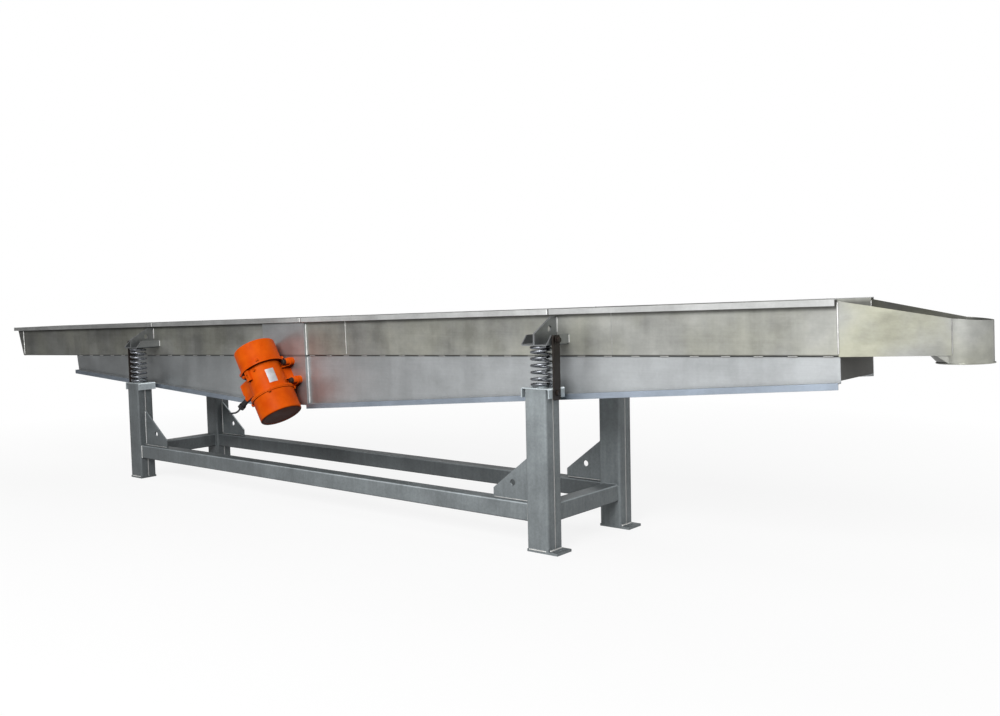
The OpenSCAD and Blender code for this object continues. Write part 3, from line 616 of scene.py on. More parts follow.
def brushed_sheet(
    name, colour, shade, metal=0.78, rough=0.42, blotch=0.16, lines=(), tones=(), straw=0.0,
    lip=False, streaks=0.3, inside=1.0,
):
    """Brushed stainless: faint lengthwise lines, soft clouds, downward stains, straw-tinted
    patches.
    """
    m, tree, shader = new_material(name)
    scratches = pattern(tree, (0.8, 26, 26), 7, 5, 0.6)
    clouds = pattern(tree, (1, 1, 1.6), 3.4, 6, 0.62)
    stains = pattern(tree, (6, 6, 0.8), 2.2, 4, 0.6)
    grain = pattern(tree, (1, 1, 1), 90, 3, 0.6)
    mixed = arith(
        tree, "ADD", arith(tree, "MULTIPLY", clouds, 1 - streaks),
        arith(tree, "MULTIPLY", stains, streaks),
    )
    base = mottled(tree, mixed, 0.38, 0.62, colour, [1 - blotch] * 3, [1 + blotch] * 3)
    base = toned(tree, base, scratches, 0.3, 0.7, 0.97, 1.03)
    base = toned(tree, base, grain, 0.3, 0.7, 0.97, 1.03)
    # Painted shade: darker toward the feed end
    if shade:
        base = toned(tree, base, along_trough(tree), 0, 1, 1 - shade, 1)
    # A straw-coloured tint in slow patches
    if straw:
        straw_patches = spread(tree, pattern(tree, (1, 1, 0.8), 5.5, 3, 0.5), 0.42, 0.66, 0, straw)
        base = tinged(tree, base, (1.14, 1.12, 0.86), straw_patches)
    if lip:
        out = arith(tree, "ABSOLUTE", coordinate(tree, "Y"), 0)
        outward = spread(tree, out, 0.167, 0.170, 0, 1)
        base = tinged(tree, base, (0.76, 0.84, 0.97), outward)
    # Painted shade on the inner faces of the walls, as dark as inside says
    if inside < 1:
        inward_facing = arith(tree, "MULTIPLY", facing(tree, "Y"), coordinate(tree, "Y"))
        base = toned(tree, base, inward_facing, -0.03, -0.01, inside, 1)
    # Painted shade bands at the listed heights
    if lines:
        base = painted_shade_lines(tree, base, lines)
    if tones:
        base = sections(tree, base, tones)
    # Painted shade on level tops
    base = shaded_tops_lit_edges(tree, base, 0.62)
    # Painted shade on faces that look down
    base = shaded_below(tree, base, 0.35)
    worn = spread(tree, mixed, 0.35, 0.65, rough - 0.06, rough + 0.08)
    dust = spread(tree, facing(tree, "Z"), 0.85, 0.97, 0, 0.4)
    worn = arith(tree, "ADD", worn, dust)
    surfaced(tree, shader, base, worn, (scratches, 0.0003, 0.25), Metallic=metal)
    return m


def satin_paint(name, colour, rough=0.46, speckle=0.16, shade=0.0, metal=0.25, lift=()):
    """Sprayed paint with mottling, run marks, rubbed flecks and a fine orange peel, with painted
    shade and highlights.
    """
    m, tree, shader = new_material(name)
    clouds = pattern(tree, (1, 1, 1), 6.5, 6, 0.65)
    runs = pattern(tree, (22, 22, 1.4), 3.0, 4, 0.6)
    flecks = pattern(tree, (1, 1, 1), 95, 4, 0.7)
    peel = pattern(tree, (1, 1, 1), 420, 2, 0.5)
    base = mottled(tree, clouds, 0.35, 0.65, colour, [1 - speckle] * 3, [1 + speckle] * 3)
    base = toned(tree, base, runs, 0.3, 0.7, 0.92, 1.08)
    base = toned(tree, base, flecks, 0.35, 0.75, 0.92, 1.14)
    # Painted shade: darker toward the feed end
    if shade:
        base = toned(tree, base, along_trough(tree), 0, 1, 1 - shade, 1)
    # Painted light: lighter above a given height
    if lift:
        low, high, factor = lift
        base = toned(tree, base, coordinate(tree, "Z"), low, high, 1, factor)
    # Painted shade on level tops and a painted highlight on the edges round them
    base = shaded_tops_lit_edges(tree, base, 0.68, 1.9)
    # Painted shade on faces that look down
    base = shaded_below(tree, base, 0.4)
    worn = spread(tree, clouds, 0.3, 0.7, rough - 0.08, rough + 0.08)
    surfaced(
        tree, shader, base, worn, (peel, 0.0002, 0.35), Metallic=metal, Specular_IOR_Level=0.35
    )
    return m


def motor_enamel(name, colour):
    """Thick orange enamel over a sand casting."""
    m, tree, shader = new_material(name)
    clouds = pattern(tree, (1, 1, 1), 14, 4, 0.55)
    cast = pattern(tree, (1, 1, 1), 260, 3, 0.6)
    base = mottled(tree, clouds, 0.35, 0.65, colour, (0.88, 0.78, 0.7), (1.05, 1.2, 1.4))
    # Painted shade on faces that look down, strongest here on the motors
    base = shaded_below(tree, base, 0.10)
    worn = spread(tree, clouds, 0.3, 0.7, 0.36, 0.5)
    surfaced(tree, shader, base, worn, (cast, 0.0005, 0.3), Specular_IOR_Level=0.05)
    return m


def shown_instead(tree, shader, other, amount):
    """Ends a material with a mix of its shader and another, as far as amount says."""
    mix = add_node(tree, "ShaderNodeMixShader", Fac=amount)
    tree.links.new(shader.outputs[0], mix.inputs[1])
    tree.links.new(other.outputs[0], mix.inputs[2])
    tree.links.new(mix.outputs[0], tree.nodes["Material Output"].inputs["Surface"])


def speckled(name, colour, tones, size, rough, grain, metal):
    """A cloudy plain finish: tones are the darkest and the lightest share of the colour."""
    m, tree, shader = new_material(name)
    clouds = pattern(tree, (1, 1, 1), *size)
    base = mottled(tree, clouds, 0.3, 0.7, colour, *([tone] * 3 for tone in tones))
    fine = pattern(tree, (1, 1, 1), grain, 2, 0.5)
    worn = spread(tree, clouds, 0.3, 0.7, *rough)
    surfaced(tree, shader, base, worn, (fine, 0.0002, 0.3), Metallic=metal)
    return m


def turned_steel(name, colour, rough=0.3, metal=1.0):
    """Plain machined or plated steel."""
    worn = (rough - 0.06, rough + 0.1)
    return speckled(name, colour, (0.8, 1.12), (40, 4, 0.6), worn, 400, metal)


def dull_plastic(name, colour, rough=0.55):
    """Moulded black plastic or rubber."""
    worn = (rough - 0.1, rough + 0.1)
    return speckled(name, colour, (0.7, 1.4), (60, 3, 0.6), worn, 700, 0.0)


finishes = {}


# ---- Operators ----


class FEEDER_OT_finishes(bpy.types.Operator):
    """Makes the feeder's materials"""

    bl_idname = "feeder.finishes"
    bl_label = "Make the finishes"

    def execute(self, context):
        f = context.scene.feeder_finish
        # Painted shadow under the rim and painted shade in the crease where the wall meets the
        # keel
        rim_shadow_band = (0.160, 0.016, 0.55)
        keel_crease_shade = (0.002, 0.007, 0.45)
        finishes["sheet"] = brushed_sheet(
            "brushed_trough", f.stainless, f.feed_painted_shade, blotch=0.22, straw=0.25,
            lines=(rim_shadow_band, keel_crease_shade),
        )
        # inside sets the painted shade on the inner faces of the taper and spout walls
        finishes["taper"] = brushed_sheet(
            "brushed_taper", dimmed(f.stainless, 0.80), 0, blotch=0.24, straw=0.6,
            streaks=0.1, inside=0.5,
        )
        finishes["spout"] = brushed_sheet(
            "brushed_spout", dimmed(f.stainless, 1.08), 0, rough=0.3, blotch=0.26,
            straw=0.3, streaks=0.2, inside=0.6,
        )
        finishes["keel"] = brushed_sheet(
            "brushed_keel", f.keel, f.feed_painted_shade, blotch=0.12, lines=(keel_crease_shade,), lip=True
        )
        # Painted shade: a dark, rough copy of the sheet for the end plates and cross beam under
        # the taper
        finishes["dull"] = brushed_sheet("shaded_dark_sheet", (0.15, 0.15, 0.14), 0, metal=0.5, rough=0.6)
        finishes["rim"] = brushed_sheet(
            "bright_rim", f.rim, f.feed_painted_shade * 0.5, rough=0.34, blotch=0.1,
            tones=((-1.344, 1.0), (-0.092, 1.1), (1.356, 1.3), (3.0, 0.9)),
        )
        finishes["bracket"] = brushed_sheet(
            "brushed_bracket", dimmed(f.keel, 0.6), f.feed_painted_shade * 0.5, blotch=0.2
        )
        # Painted light: the frame paint lightens toward the leg tops; the rear long rail takes a
        # copy darkened as painted shade, lightened again above z 0.186
        finishes["paint"] = satin_paint("frame_grey", f.paint, shade=0.72, lift=(0.15, 0.55, 1.35))
        finishes["rear_shaded_paint"] = satin_paint(
            "frame_grey_rear_shaded", dimmed(f.paint, 0.5), lift=(0.180, 0.186, 1.9)
        )
        finishes["seat"] = satin_paint("seat_grey", dimmed(f.paint, 2.6), rough=0.4, shade=0.3)
        finishes["strap"] = satin_paint("strap_brown", f.strap, rough=0.45, metal=0.0)
        finishes["enamel"] = motor_enamel("motor_orange", f.motor)
        for key, name, *look in (
            ("coil", "spring_wire", (0.22, 0.23, 0.25), 0.26),
            ("machined", "machined_steel", (0.5, 0.5, 0.52), 0.25),
            ("plate", "bare_plate", (0.62, 0.62, 0.64), 0.45, 0.6),
            # The foot bolts are real; their near-black colour is painted shade for the recesses
            # round them
            ("black_bolt", "black_bolt", (0.030, 0.022, 0.018), 0.5, 0.5),
            ("iron", "weight_iron", (0.08, 0.08, 0.085), 0.5, 0.7),
            ("bead", "weld_bead", (0.80, 0.80, 0.78), 0.34, 0.7),
            ("tack", "tack_bead", (0.42, 0.42, 0.41), 0.40, 0.8),
        ):
            finishes[key] = turned_steel(name, *look)
        for key, name, *look in (
            ("windings", "winding_varnish", (0.16, 0.06, 0.02), 0.4),
            ("gland", "gland_black", (0.012, 0.012, 0.013)),
            ("lead", "lead_black", (0.010, 0.010, 0.011), 0.45),
        ):
            finishes[key] = dull_plastic(name, *look)
        return {"FINISHED"}


class FEEDER_OT_stage(bpy.types.Operator):
    """Sets up the camera, the lamps, the sky, the floor and the grey screens"""

    bl_idname = "feeder.stage"
    bl_label = "Set the stage"

    LENS_SHIFT = (0.00118, -0.00262)
    SCREENS = (
        ("overhead_screen", (-7, -4, 7.0), (7, 7, 7.02)),
        ("left_screen", (-5.4, -9.5, 0.02), (-5.38, -0.9, 4.6)),
        ("back_screen", (-9.0, 5.0, 0.02), (4.0, 5.02, 3.4)),
    )

    def execute(self, context):
        studio = context.scene.feeder_studio
        self.camera(context, studio)
        self.lamps(studio)
        self.sky(context, studio)
        self.floor()
        self.screens()
        context.scene.view_settings.view_transform = "Standard"
        return {"FINISHED"}

    def camera(self, context, studio):
        yaw, pitch, roll = studio.turn
        ahead = Vector((
            -math.sin(yaw) * math.cos(pitch), math.cos(yaw) * math.cos(pitch), math.sin(pitch)
        ))
        level = Vector((math.cos(yaw), math.sin(yaw), 0))
        up = level.cross(ahead)
        right = math.cos(roll) * level + math.sin(roll) * up
        above = -math.sin(roll) * level + math.cos(roll) * up
        nothing_selected()
        bpy.ops.object.camera_add(location=studio.place)
        camera = context.object
        camera.name = "camera"
        turn = Matrix((right, above, -ahead)).transposed()
        camera.matrix_world = Matrix.Translation(studio.place) @ turn.to_4x4()
        camera.data.lens = studio.focal
        camera.data.sensor_width = 36
        camera.data.shift_x, camera.data.shift_y = self.LENS_SHIFT
        camera.data.clip_start = 0.05
        camera.data.clip_end = 200
        camera.data.dof.use_dof = False
        context.scene.camera = camera

    def lamp(self, name, place, aim, size, power):
        nothing_selected()
        bpy.ops.object.light_add(type="AREA", location=place)
        lamp = active_piece()
        lamp.name = name
        lamp.rotation_euler = (Vector(aim) - Vector(place)).to_track_quat("-Z", "Y").to_euler()
        lamp.data.shape = "RECTANGLE"
        lamp.data.size, lamp.data.size_y = size
        lamp.data.energy = power
        lamp.visible_camera = False

    def lamps(self, studio):
        self.lamp("key_lamp", (2.4, -6.4, 4.5), (0.4, 0, 0.5), (4.5, 3), studio.key)
        self.lamp("top_lamp", (0.5, -0.5, 6.0), (0.5, 0, 0.6), (7, 3), studio.key * 0.08)
        self.lamp("rear_lamp", (-2.0, 4.4, 4.6), (0, 0, 0.6), (5, 3), studio.key * 0.25)

    def mirrored(self, tree):
        """1 for rays off gloss or through glass, else 0."""
        path = tree.nodes.new("ShaderNodeLightPath").outputs
        return arith(tree, "MAXIMUM", path["Is Glossy Ray"], path["Is Transmission Ray"])

    def camera_ray(self, tree):
        return tree.nodes.new("ShaderNodeLightPath").outputs["Is Camera Ray"]

    def sky(self, context, studio):
        world = bpy.data.worlds.new("studio_sky")
        context.scene.world = world
        world.use_nodes = True
        tree = world.node_tree
        tree.nodes.clear()
        seen = arith(tree, "MAXIMUM", self.camera_ray(tree), self.mirrored(tree))
        strength = spread(tree, seen, 0, 1, studio.ambient, 1.0)
        sky = add_node(tree, "ShaderNodeBackground", Color=(1, 1, 1, 1), Strength=strength)
        out = tree.nodes.new("ShaderNodeOutputWorld")
        tree.links.new(sky.outputs[0], out.inputs["Surface"])

    def floor(self):
        """A pale floor that fades into the white background and keeps the shadows."""
        nothing_selected()
        bpy.ops.mesh.primitive_plane_add(size=90, location=(0, 0, 0))
        floor = active_piece()
        floor.name = "studio_floor"
        m, tree, shader = new_material("pale_floor")
        shader.inputs["Roughness"].default_value = 0.9
        shader.inputs["Specular IOR Level"].default_value = 0.0
        shade = spread(
            tree, tree.nodes.new("ShaderNodeLightPath").outputs["Is Diffuse Ray"], 0, 1, 0.9, 0.14
        )
        grey = add_node(tree, "ShaderNodeCombineColor", Red=shade, Green=shade, Blue=shade)
        tree.links.new(grey.outputs[0], shader.inputs["Base Color"])
        reach = add_node(
            tree, "ShaderNodeVectorMath", {"operation": "LENGTH"}, Vector=object_place(tree)
        )
        fade = spread(tree, reach.outputs["Value"], 1.8, 4.5, 0.86, 1.0)
        glow = add_node(tree, "ShaderNodeEmission", Color=(1, 1, 1, 1), Strength=1.0)
        seen = arith(
            tree, "MAXIMUM", arith(tree, "MULTIPLY", self.camera_ray(tree), fade),
            arith(tree, "MULTIPLY", self.mirrored(tree), 0.25),
        )
        shown_instead(tree, shader, glow, seen)
        floor.data.materials.append(m)

    def screens(self):
        """Grey screens over, behind and left of the feeder, which a camera sees through."""
        m, tree, shader = new_material("grey_screen")
        shader.inputs["Base Color"].default_value = (0.10, 0.10, 0.10, 1)
        shader.inputs["Roughness"].default_value = 1.0
        clear = tree.nodes.new("ShaderNodeBsdfTransparent")
        shown_instead(tree, shader, clear, self.camera_ray(tree))
        for name, low, high in self.SCREENS:
            screen = box_piece(low, high)
            screen.name = name
            screen.data.materials.append(m)


class FEEDER_OT_lead(bpy.types.Operator):
    """Lays the front motor's short lead"""

    bl_idname = "feeder.lead"
    bl_label = "Lay the motor lead"

    RADIUS = 0.0044
    STEPS = (
        (0, 0, 0), (-19, -3, -4), (-38, -4, -1), (-57, -4, 7), (-76, -4, 15), (-86, -4, 19),
    )

    def execute(self, context):
        place = motor_matrix("front")
        points = [place @ (GLAND_MOUTH + Vector(p) * MM) for p in self.STEPS]
        lead = rod(points, self.RADIUS, 4)
        lead.name = lead.data.name = "motor_lead_sheath"
        lead.data.materials.append(finishes["lead"])
        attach(lead, "trough")
        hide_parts("motor_lead")
        return {"FINISHED"}


class FEEDER_OT_frame_steel(bpy.types.Operator):
    """Finishes the legs, rails, spring seats and straps, and lays their welds"""

    bl_idname = "feeder.frame_steel"
    bl_label = "Finish the frame"

    def execute(self, context):
        for name in frame["nodes"]:
            if name.startswith(("leg_", "long_rail", "cross_rail")):
                # The rear long rail gets the copy darkened as painted shade
                paint = "rear_shaded_paint" if name == "long_rail_rear" else "paint"
                dressed(name, "painted", 0.0022, paint)
            elif name.startswith("spring_seat"):
                dressed(name, "painted", 0.0009, "seat")
            elif name.startswith("strap_") and name != "strap_bolts":
                dressed(name, "painted", 0.0012, "strap")
        self.welds()
        return {"FINISHED"}

    def welds(self):
        inner, outer = FRAME_HALF[0] - LEG_SIZE[0], FRAME_HALF[0]
        front, back = FRAME_HALF[1], FRAME_HALF[1] - LEG_SIZE[1]
        middle = LEG_MIDDLE[1]
        seam_in, seam_out, face = inner + 0.0014, outer - 0.0014, front - 0.001
        base, knee = 0.010, 0.181
        bright, dull, plain = [], [], []
        for end, e in ENDS.items():
            top = LEG_TOP[end]
            lines = [
                ([(seam_out, middle, base), (seam_out, middle, top)], 0.0034, dull),
                ([(seam_in, middle, base), (seam_in, middle, top)], 0.0034, dull),
                ([(inner + 0.01, face, base), (outer - 0.01, face, base)], 0.0034, bright),
                ([(inner + 0.012, face, top), (outer - 0.012, face, top)], 0.0022, plain),
                ([(inner, front - 0.010, 0.112), (inner, front - 0.010, 0.180)], 0.0032, bright),
                ([(inner, back + 0.010, 0.112), (inner, back + 0.010, 0.180)], 0.0032, plain),
                ([(inner, middle - 0.028, 0.110), (inner, middle + 0.028, 0.110)], 0.003, plain),
                ([(1.345, back, 0.116), (1.345, back, 0.176)], 0.003, plain),
                ([(1.415, back, 0.116), (1.415, back, 0.176)], 0.003, plain),
                ([(1.350, back, 0.181), (1.410, back, 0.181)], 0.003, plain),
            ]
            for side in (-0.0045, 0.0045):
                y = middle + side
                lines += [
                    ([(inner - 0.190, y, knee), (inner - 0.002, y, knee)], 0.0026, bright),
                    ([(inner, y, 0.186), (inner, y, 0.362)], 0.0026, bright),
                ]
            if end == "discharge":
                foot = [(outer, back + 0.01, base), (outer, front - 0.01, base)]
                lines.append((foot, 0.0048, bright))
            lay_beads(lines, Matrix.Diagonal((e, 1, 1)))
        join_beads(
            "frame", "frame_paint", ("frame_weld_seams", bright, "bead"),
            ("frame_leg_seams", dull, "tack"), ("frame_painted_welds", plain, "paint"),
        )


class FEEDER_OT_trough_sheet(bpy.types.Operator):
    """Finishes the trough, its keels, plates and brackets, and lays their welds"""

    bl_idname = "feeder.trough_sheet"
    bl_label = "Finish the trough"

    def execute(self, context):
        for name in frame["nodes"]:
            if name in ("trough_pan", "feed_end"):
                dressed(name, "brushed", 0.0006, "sheet")
            elif name.startswith("discharge_"):
                dressed(name, "brushed", 0.0006, name.removeprefix("discharge_"))
            elif name.startswith("rim_"):
                dressed(name, "brushed", 0.0007, "rim")
            # Painted shade under the taper: these take the dark copy of the sheet
            elif name.startswith("keel_end") or name == "cross_beam":
                dressed(name, "brushed", 0.0009, "dull")
            elif name.startswith(("keel_", "motor_plate")):
                dressed(name, "brushed", 0.0009, "keel")
            elif name.startswith("bracket_"):
                dressed(name, "brushed", 0.0009, "bracket")
        self.welds()
        return {"FINISHED"}

    def welds(self):
        seams, tacks = [], []
        lines = [
            ([(x, y, low), (x, y, high)], radius, kind)
            for x, y, low, high, radius, kind in (
                (PAN_ENDS[1], PAN_HALF, 0.009, 0.172, 0.0042, seams),
                (*SPOUT_SEAM, 0.004, 0.108, 0.0024, tacks),
                (PAN_JOINTS[0], PAN_HALF - 0.0004, 0.010, 0.174, 0.0020, seams),
                (PAN_JOINTS[1], PAN_HALF - 0.0004, 0.010, 0.174, 0.0020, tacks),
                (FEED_SEAM, PAN_HALF - 0.001, 0.008, 0.156, 0.0042, seams),
                (PLATE_ENDS[0], PAN_HALF + 0.0003, 0.004, 0.154, 0.0036, tacks),
                (PLATE_ENDS[0], PAN_HALF - 0.0022, -0.222, -0.004, 0.0036, tacks),
                (PLATE_ENDS[1], PAN_HALF + 0.0003, 0.004, 0.154, 0.0036, seams),
                (PLATE_ENDS[1], PAN_HALF - 0.0022, -0.222, -0.004, 0.0036, seams),
            )
        ]
        x, y = PAN_ENDS[0] + 0.70, PAN_HALF - 0.0024
        while x < PAN_ENDS[1] - 0.05:
            if not PLATE_ENDS[0] - 0.05 < x < PLATE_ENDS[1] + 0.01:
                lines.append(([(x, y, 0.0006), (x + 0.034, y, 0.0006)], 0.0030, tacks))
            x += 0.118
        lay_beads(lines, trough_matrix())
        for end, e in ENDS.items():
            z, wall = BRACKET_TOP[end], PAN_HALF
            upright = [
                ([(x, wall, z + low), (x, wall, z + high)], radius, seams)
                for x, low, high, radius in (
                    (1.4346, 0.007, 0.036, 0.0030), (1.3154, 0.007, 0.036, 0.0030),
                    (1.3805, 0.045, 0.102, 0.0028), (1.3695, 0.045, 0.102, 0.0028),
                )
            ]
            under = ([(1.322, wall - 0.0006, z), (1.428, wall - 0.0006, z)], 0.0026, tacks)
            lay_beads([*upright, under], Matrix.Diagonal((e, 1, 1)))
        join_beads(
            "trough", "keel_stainless", ("trough_weld_seams", seams, "bead"),
            ("trough_tack_welds", tacks, "tack"),
        )


class FEEDER_OT_bolts(bpy.types.Operator):
    """Finishes the strap bolts, keeper bolts and motor foot bolts"""

    bl_idname = "feeder.bolts"
    bl_label = "Finish the bolts"

    def execute(self, context):
        dressed("strap_bolts", "eased", 0.0008, "strap")
        dressed("keeper_bolts", "eased", 0.0008, "strap")
        heads = []
        for side in SIDES:
            for x, z in FOOT_SPOTS:
                head = hex_head(0.024, 0.010, (x, 0.062, z), (0, -1, 0), 0.0150)
                heads.append(put(smooth(head), motor_matrix(side)))
        # Near-black heads: painted shade for the recesses round them
        finish_piece(
            joined("foot_bolts_shade_black", heads), "trough", finishes["black_bolt"],
            ["foot_bolts"],
        )
        return {"FINISHED"}


class FEEDER_OT_motor_castings(bpy.types.Operator):
    """Finishes the cast motor housings"""

    bl_idname = "feeder.motor_castings"
    bl_label = "Cast the motor housings"

    def execute(self, context):
        for side in SIDES:
            self.casting(side)
            self.plate(side)
        return {"FINISHED"}

    def casting(self, side):
        place = motor_matrix(side)
        cast = eased(cad_copy(f"motor_housing_{side}", "cast"), 0.0022, 3)
        parts = [cast]
        for x, z in FOOT_SPOTS:
            boss = lathe([
                (0, 0), (0.0166, 0), (0.0160, 0.022), (0.0150, 0.0245), (0.0135, 0.025),
                (0, 0.025),
            ], 48)
            smooth(turned_to(boss, (x, 0.087, z), (0, -1, 0)))
            parts.append(put(boss, place))
        parts.append(put(self.eye_block(), place))
        for x in (-0.034, 0.036):
            stud = lathe([
                (0, 0), (0.0075, 0), (0.0075, 0.006), (0.0065, 0.007), (0.0035, 0.007),
                (0.0035, 0.004), (0, 0.004),
            ], 32)
            turned_to(stud, (x, -0.0775 if x > 0 else -0.0920, CORE_HALF - 0.026), (0, -1, 0))
            parts.append(put(stud, place))
        whole = joined(f"motor_housing_{side}_cast", parts)
        finish_piece(whole, "trough", finishes["enamel"], [f"motor_housing_{side}"])

    def eye_block(self):
        """A cast block under the upper flange with a deep oval eye in its face."""
        block = box_piece((-0.016, -0.100, 0.012), (0.012, -0.078, 0.064))
        eased(block, 0.003, 3)
        edit_faces(block, lambda p: p.normal.y < -0.99 and p.area > 0.0005)
        bpy.ops.mesh.inset(thickness=0.0065, depth=0)
        bpy.ops.transform.resize(value=(0.8, 1, 0.45))
        bpy.ops.mesh.extrude_region_move(TRANSFORM_OT_translate={"value": (0, 0.018, 0)})
        done_editing()
        return block

    def plate(self, side):
        """A bare rating plate, wrapped round the barrel, with two rivets."""
        turn, low, high = math.radians(-22), -0.040, 0.028
        bare = box_piece((-0.020, 0, low), (0.020, 0.0012, high))
        edit_all(bare)
        bpy.ops.mesh.subdivide(number_cuts=11)
        done_editing()
        for v in bare.data.vertices:
            a, r = turn + v.co.x / BARREL_R, BARREL_R + 0.0002 + v.co.y
            v.co = (r * math.cos(a), r * math.sin(a), v.co.z)
        parts = [bare]
        out = Vector((math.cos(turn), math.sin(turn), 0))
        for z in (low + 0.004, high - 0.004):
            rivet = lathe([(0, 0), (0.002, 0), (0.0018, 0.0009), (0.001, 0.0014), (0, 0.0015)], 20)
            parts.append(turned_to(rivet, out * (BARREL_R + 0.0012) + Vector((0, 0, z)), out))
        whole = put(joined(f"bare_plate_{side}", parts), motor_matrix(side))
        smooth(whole, 30)
        finish_piece(whole, "trough", finishes["plate"])


class FEEDER_OT_end_covers(bpy.types.Operator):
    """Turns the motors' deep end covers, with their lugs and screws"""

    bl_idname = "feeder.end_covers"
    bl_label = "Turn the end covers"

    def execute(self, context):
        for side in SIDES:
            for up in ("upper", "lower"):
                self.cover(side, up)
        return {"FINISHED"}

    def outline(self):
        rim, wall, length, bend = COVER_R, 0.005, COVER_L, 0.007
        points = [(rim - wall, 0), (FLANGE_R - 0.0014, 0), (FLANGE_R - 0.001, 0.0006)]
        points += [(FLANGE_R - 0.001, 0.0052), (FLANGE_R - 0.002, 0.006)]
        points += [(rim + 0.0022, 0.006), (rim + 0.0006, 0.0068), (rim, 0.009)]
        for k in range(7):
            a = math.radians(15 * k)
            points.append((rim - bend + bend * math.cos(a), length - bend + bend * math.sin(a)))
        points += [(rim - 0.016, length), (rim - 0.0175, length - 0.0012), (0, length - 0.0012)]
        points += [(0, length - wall), (rim - wall, length - wall)]
        return points

    def cover(self, side, up):
        shell = lathe(self.outline(), 128)
        parts = [eased(shell, 0.0003, 1, 25)]
        for k in range(4):
            a = math.radians(45 + 90 * k)
            x, y = (COVER_R + 0.004) * math.cos(a), (COVER_R + 0.004) * math.sin(a)
            lug = lathe([
                (0, 0), (0.0080, 0), (0.0080, 0.0066), (0.0076, 0.0076), (0.0066, 0.008),
                (0, 0.008),
            ], 40)
            parts.append(put(lug, Matrix.Translation((x, y, 0))))
            parts.append(hex_head(0.0118, 0.0046, (x, y, 0.008), (0, 0, 1)))
        for part in parts:
            smooth(part)
        whole = joined(f"{up}_cover_{side}_turned", parts)
        flip = Matrix.Diagonal((1, 1, 1 if up == "upper" else -1, 1))
        put(whole, motor_matrix(side) @ flip @ Matrix.Translation((0, 0, CORE_HALF)))
        finish_piece(whole, "trough", finishes["enamel"], [f"{up}_cover_{side}"])


class FEEDER_OT_terminal_lids(bpy.types.Operator):
    """Makes the terminal box lids, with gasket and screws"""

    bl_idname = "feeder.terminal_lids"
    bl_label = "Make the terminal lids"

    def execute(self, context):
        for side in SIDES:
            place = motor_matrix(side)
            face = -BARREL_R - 0.020
            lid = box_piece((face - 0.008, -0.072, -0.012), (face - 0.0016, 0.014, 0.042))
            parts = [eased(lid, 0.0028, 4)]
            for y in (-0.064, 0.006):
                for z in (-0.004, 0.034):
                    screw = lathe([
                        (0, 0), (0.0042, 0), (0.0042, 0.0022), (0.0038, 0.0028), (0.0024, 0.0028),
                        (0.0024, 0.0008), (0, 0.0008),
                    ], 24)
                    turned_to(screw, (face - 0.0052, y, z), (-1, 0, 0))
                    parts.append(screw)
            for part in parts:
                smooth(part)
            whole = put(joined(f"terminal_lid_{side}_screwed", parts), place)
            finish_piece(
                whole, "trough", finishes["enamel"], [f"terminal_lid_{side}"]
            )
            gasket = box_piece((face - 0.0018, -0.0712, -0.0112), (face, 0.0132, 0.0412))
            rounded_edges(gasket, 0.0006, 2)
            put(gasket, place)
            gasket.name = gasket.data.name = f"lid_gasket_{side}"
            finish_piece(gasket, "trough", finishes["gland"])
        return {"FINISHED"}


class FEEDER_OT_glands(bpy.types.Operator):
    """Makes the ribbed cable glands with their cap nuts"""

    bl_idname = "feeder.glands"
    bl_label = "Make the cable glands"

    def execute(self, context):
        parts = []
        for side in SIDES:
            start = GLAND_AT + GLAND_ROOT * GLAND_WAY
            body = [(0, 0), (0.0126, 0), (0.0130, 0.0008), (0.0130, 0.006), (0.0118, 0.0066)]
            z = 0.0085
            while z < 0.038:
                body += [
                    (0.0116, z), (0.0128, z + 0.0006), (0.0128, z + 0.0022), (0.0116, z + 0.0028),
                ]
                z += 0.0048
            body += [(0.0116, 0.041), (0, 0.041)]
            stem = smooth(lathe(body, 48))
            nut = hex_head(0.0318, 0.0190, (0, 0, 0.041), (0, 0, 1))
            cap = lathe([
                (0.0045, 0.0560), (0.0120, 0.0560), (0.0120, 0.0605), (0.0100, 0.0640),
                (0.0066, 0.0660), (0.0045, 0.0660),
            ], 48)
            smooth(cap)
            gland = joined("gland", [stem, nut, cap])
            turned_to(gland, start, GLAND_WAY)
            parts.append(put(gland, motor_matrix(side)))
        finish_piece(
            joined("cable_glands_ribbed", parts), "trough", finishes["gland"],
            ["cable_glands"],
        )
        return {"FINISHED"}


class FEEDER_OT_inner_parts(bpy.types.Operator):
    """Gives the rotors, weights and windings their finishes, and clears the other CAD nodes'
    materials
    """

    bl_idname = "feeder.inner_parts"
    bl_label = "Finish the inner parts"

    FINISHES = {"rotor": "machined", "weights": "iron", "stator": "windings"}

    def execute(self, context):
        for name, node in frame["nodes"].items():
            node.data.materials.clear()
            for start, finish in self.FINISHES.items():
                if name.startswith(start):
                    node.data.materials.append(finishes[finish])
        return {"FINISHED"}


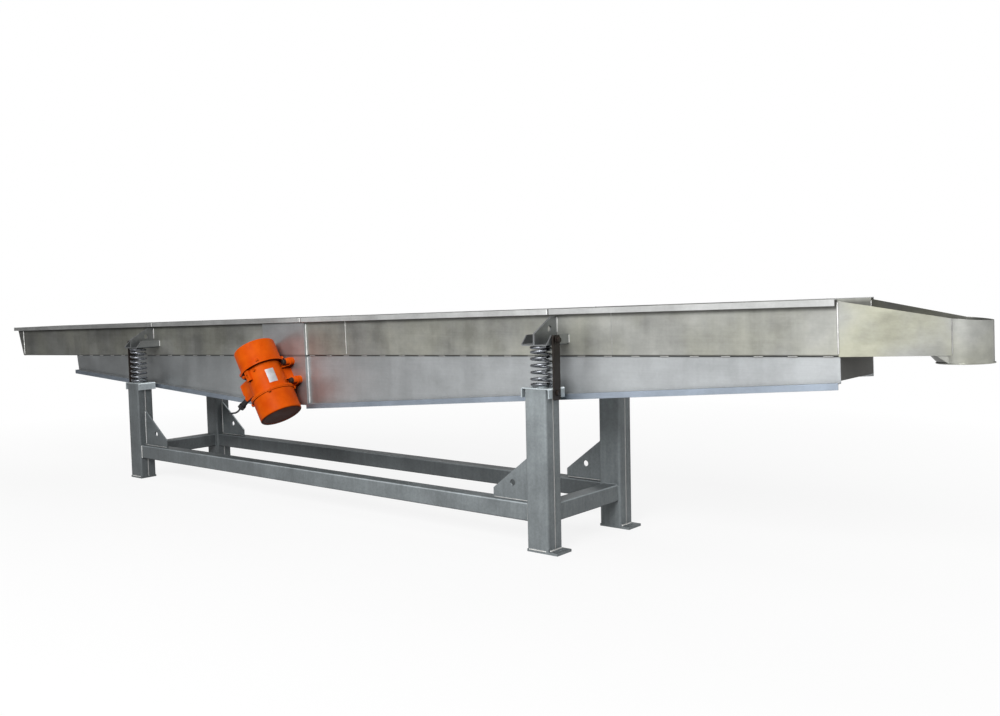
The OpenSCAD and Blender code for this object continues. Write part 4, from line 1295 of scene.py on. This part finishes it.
class FEEDER_OT_springs(bpy.types.Operator):
    """Winds the four coil springs"""

    bl_idname = "feeder.springs"
    bl_label = "Wind the springs"

    WIRE = 0.011
    OUTER = 0.086
    PITCH = 0.026
    STEPS = 40

    def height(self, turn, turns, length):
        ground, dead = 0.3 * self.WIRE, 1.05 * self.WIRE
        if turn < 1:
            return ground + dead * turn
        if turn > turns - 1:
            return length - ground - dead * (turns - turn)
        return ground + dead + (turn - 1) * (length - 2 * ground - 2 * dead) / (turns - 2)

    def execute(self, context):
        for side, y in SIDES.items():
            for end, x in ENDS.items():
                self.coil(side, end, x, y)
        return {"FINISHED"}

    def coil(self, side, end, sx, sy):
        length = SPRING_LENGTH[end]
        base = LEG_TOP[end] + SEAT_SHEET
        turns = 2 + round((length - 2.7 * self.WIRE) / self.PITCH)
        radius = (self.OUTER - self.WIRE) / 2
        points = []
        for k in range(turns * self.STEPS + 1):
            turn = k / self.STEPS
            a = 2 * math.pi * turn
            points.append((
                sx * (LEG_MIDDLE[0] + radius * math.cos(a)),
                sy * (LEG_MIDDLE[1] - radius * math.sin(a)),
                base + self.height(turn, turns, length),
            ))
        coil = as_mesh(rod(points, self.WIRE / 2, 4))
        coil.name = coil.data.name = f"coil_{side}_{end}"
        for v in coil.data.vertices:
            v.co.z = min(max(v.co.z, base), base + length)
        edit_all(coil)
        bpy.ops.mesh.normals_make_consistent(inside=False)
        done_editing()
        smooth(coil, 50)
        coil.data.materials.clear()
        coil.data.materials.append(finishes["coil"])
        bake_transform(coil)
        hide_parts(f"spring_{side}_{end}")


PIECE_OPERATORS = [
    FEEDER_OT_finishes,
    FEEDER_OT_stage,
    FEEDER_OT_lead,
    FEEDER_OT_frame_steel,
    FEEDER_OT_trough_sheet,
    FEEDER_OT_springs,
    FEEDER_OT_bolts,
    FEEDER_OT_motor_castings,
    FEEDER_OT_end_covers,
    FEEDER_OT_terminal_lids,
    FEEDER_OT_glands,
    FEEDER_OT_inner_parts,
]


class FEEDER_PT_sidebar(bpy.types.Panel):
    bl_label = "Feeder"
    bl_idname = "FEEDER_PT_sidebar"
    bl_space_type = "VIEW_3D"
    bl_region_type = "UI"
    bl_category = "Feeder"

    def draw(self, context):
        for settings in (context.scene.feeder_finish, context.scene.feeder_studio):
            box = self.layout.box()
            for name in settings.__annotations__:
                box.prop(settings, name)
        for operator in PIECE_OPERATORS:
            self.layout.operator(operator.bl_idname)


CLASSES = [FeederFinish, FeederStudio, *PIECE_OPERATORS, FEEDER_PT_sidebar]


def register():
    for c in CLASSES:
        bpy.utils.register_class(c)
    bpy.types.Scene.feeder_finish = bpy.props.PointerProperty(type=FeederFinish)
    bpy.types.Scene.feeder_studio = bpy.props.PointerProperty(type=FeederStudio)


def unregister():
    del bpy.types.Scene.feeder_finish
    del bpy.types.Scene.feeder_studio
    for c in reversed(CLASSES):
        bpy.utils.unregister_class(c)


def main():
    register()
    bpy.ops.feeder.finishes()
    bpy.ops.feeder.stage()
    bpy.ops.feeder.lead()
    bpy.ops.feeder.frame_steel()
    bpy.ops.feeder.trough_sheet()
    bpy.ops.feeder.springs()
    bpy.ops.feeder.bolts()
    bpy.ops.feeder.motor_castings()
    bpy.ops.feeder.end_covers()
    bpy.ops.feeder.terminal_lids()
    bpy.ops.feeder.glands()
    bpy.ops.feeder.inner_parts()
    nothing_selected()


if __name__ == "__main__":
    main()
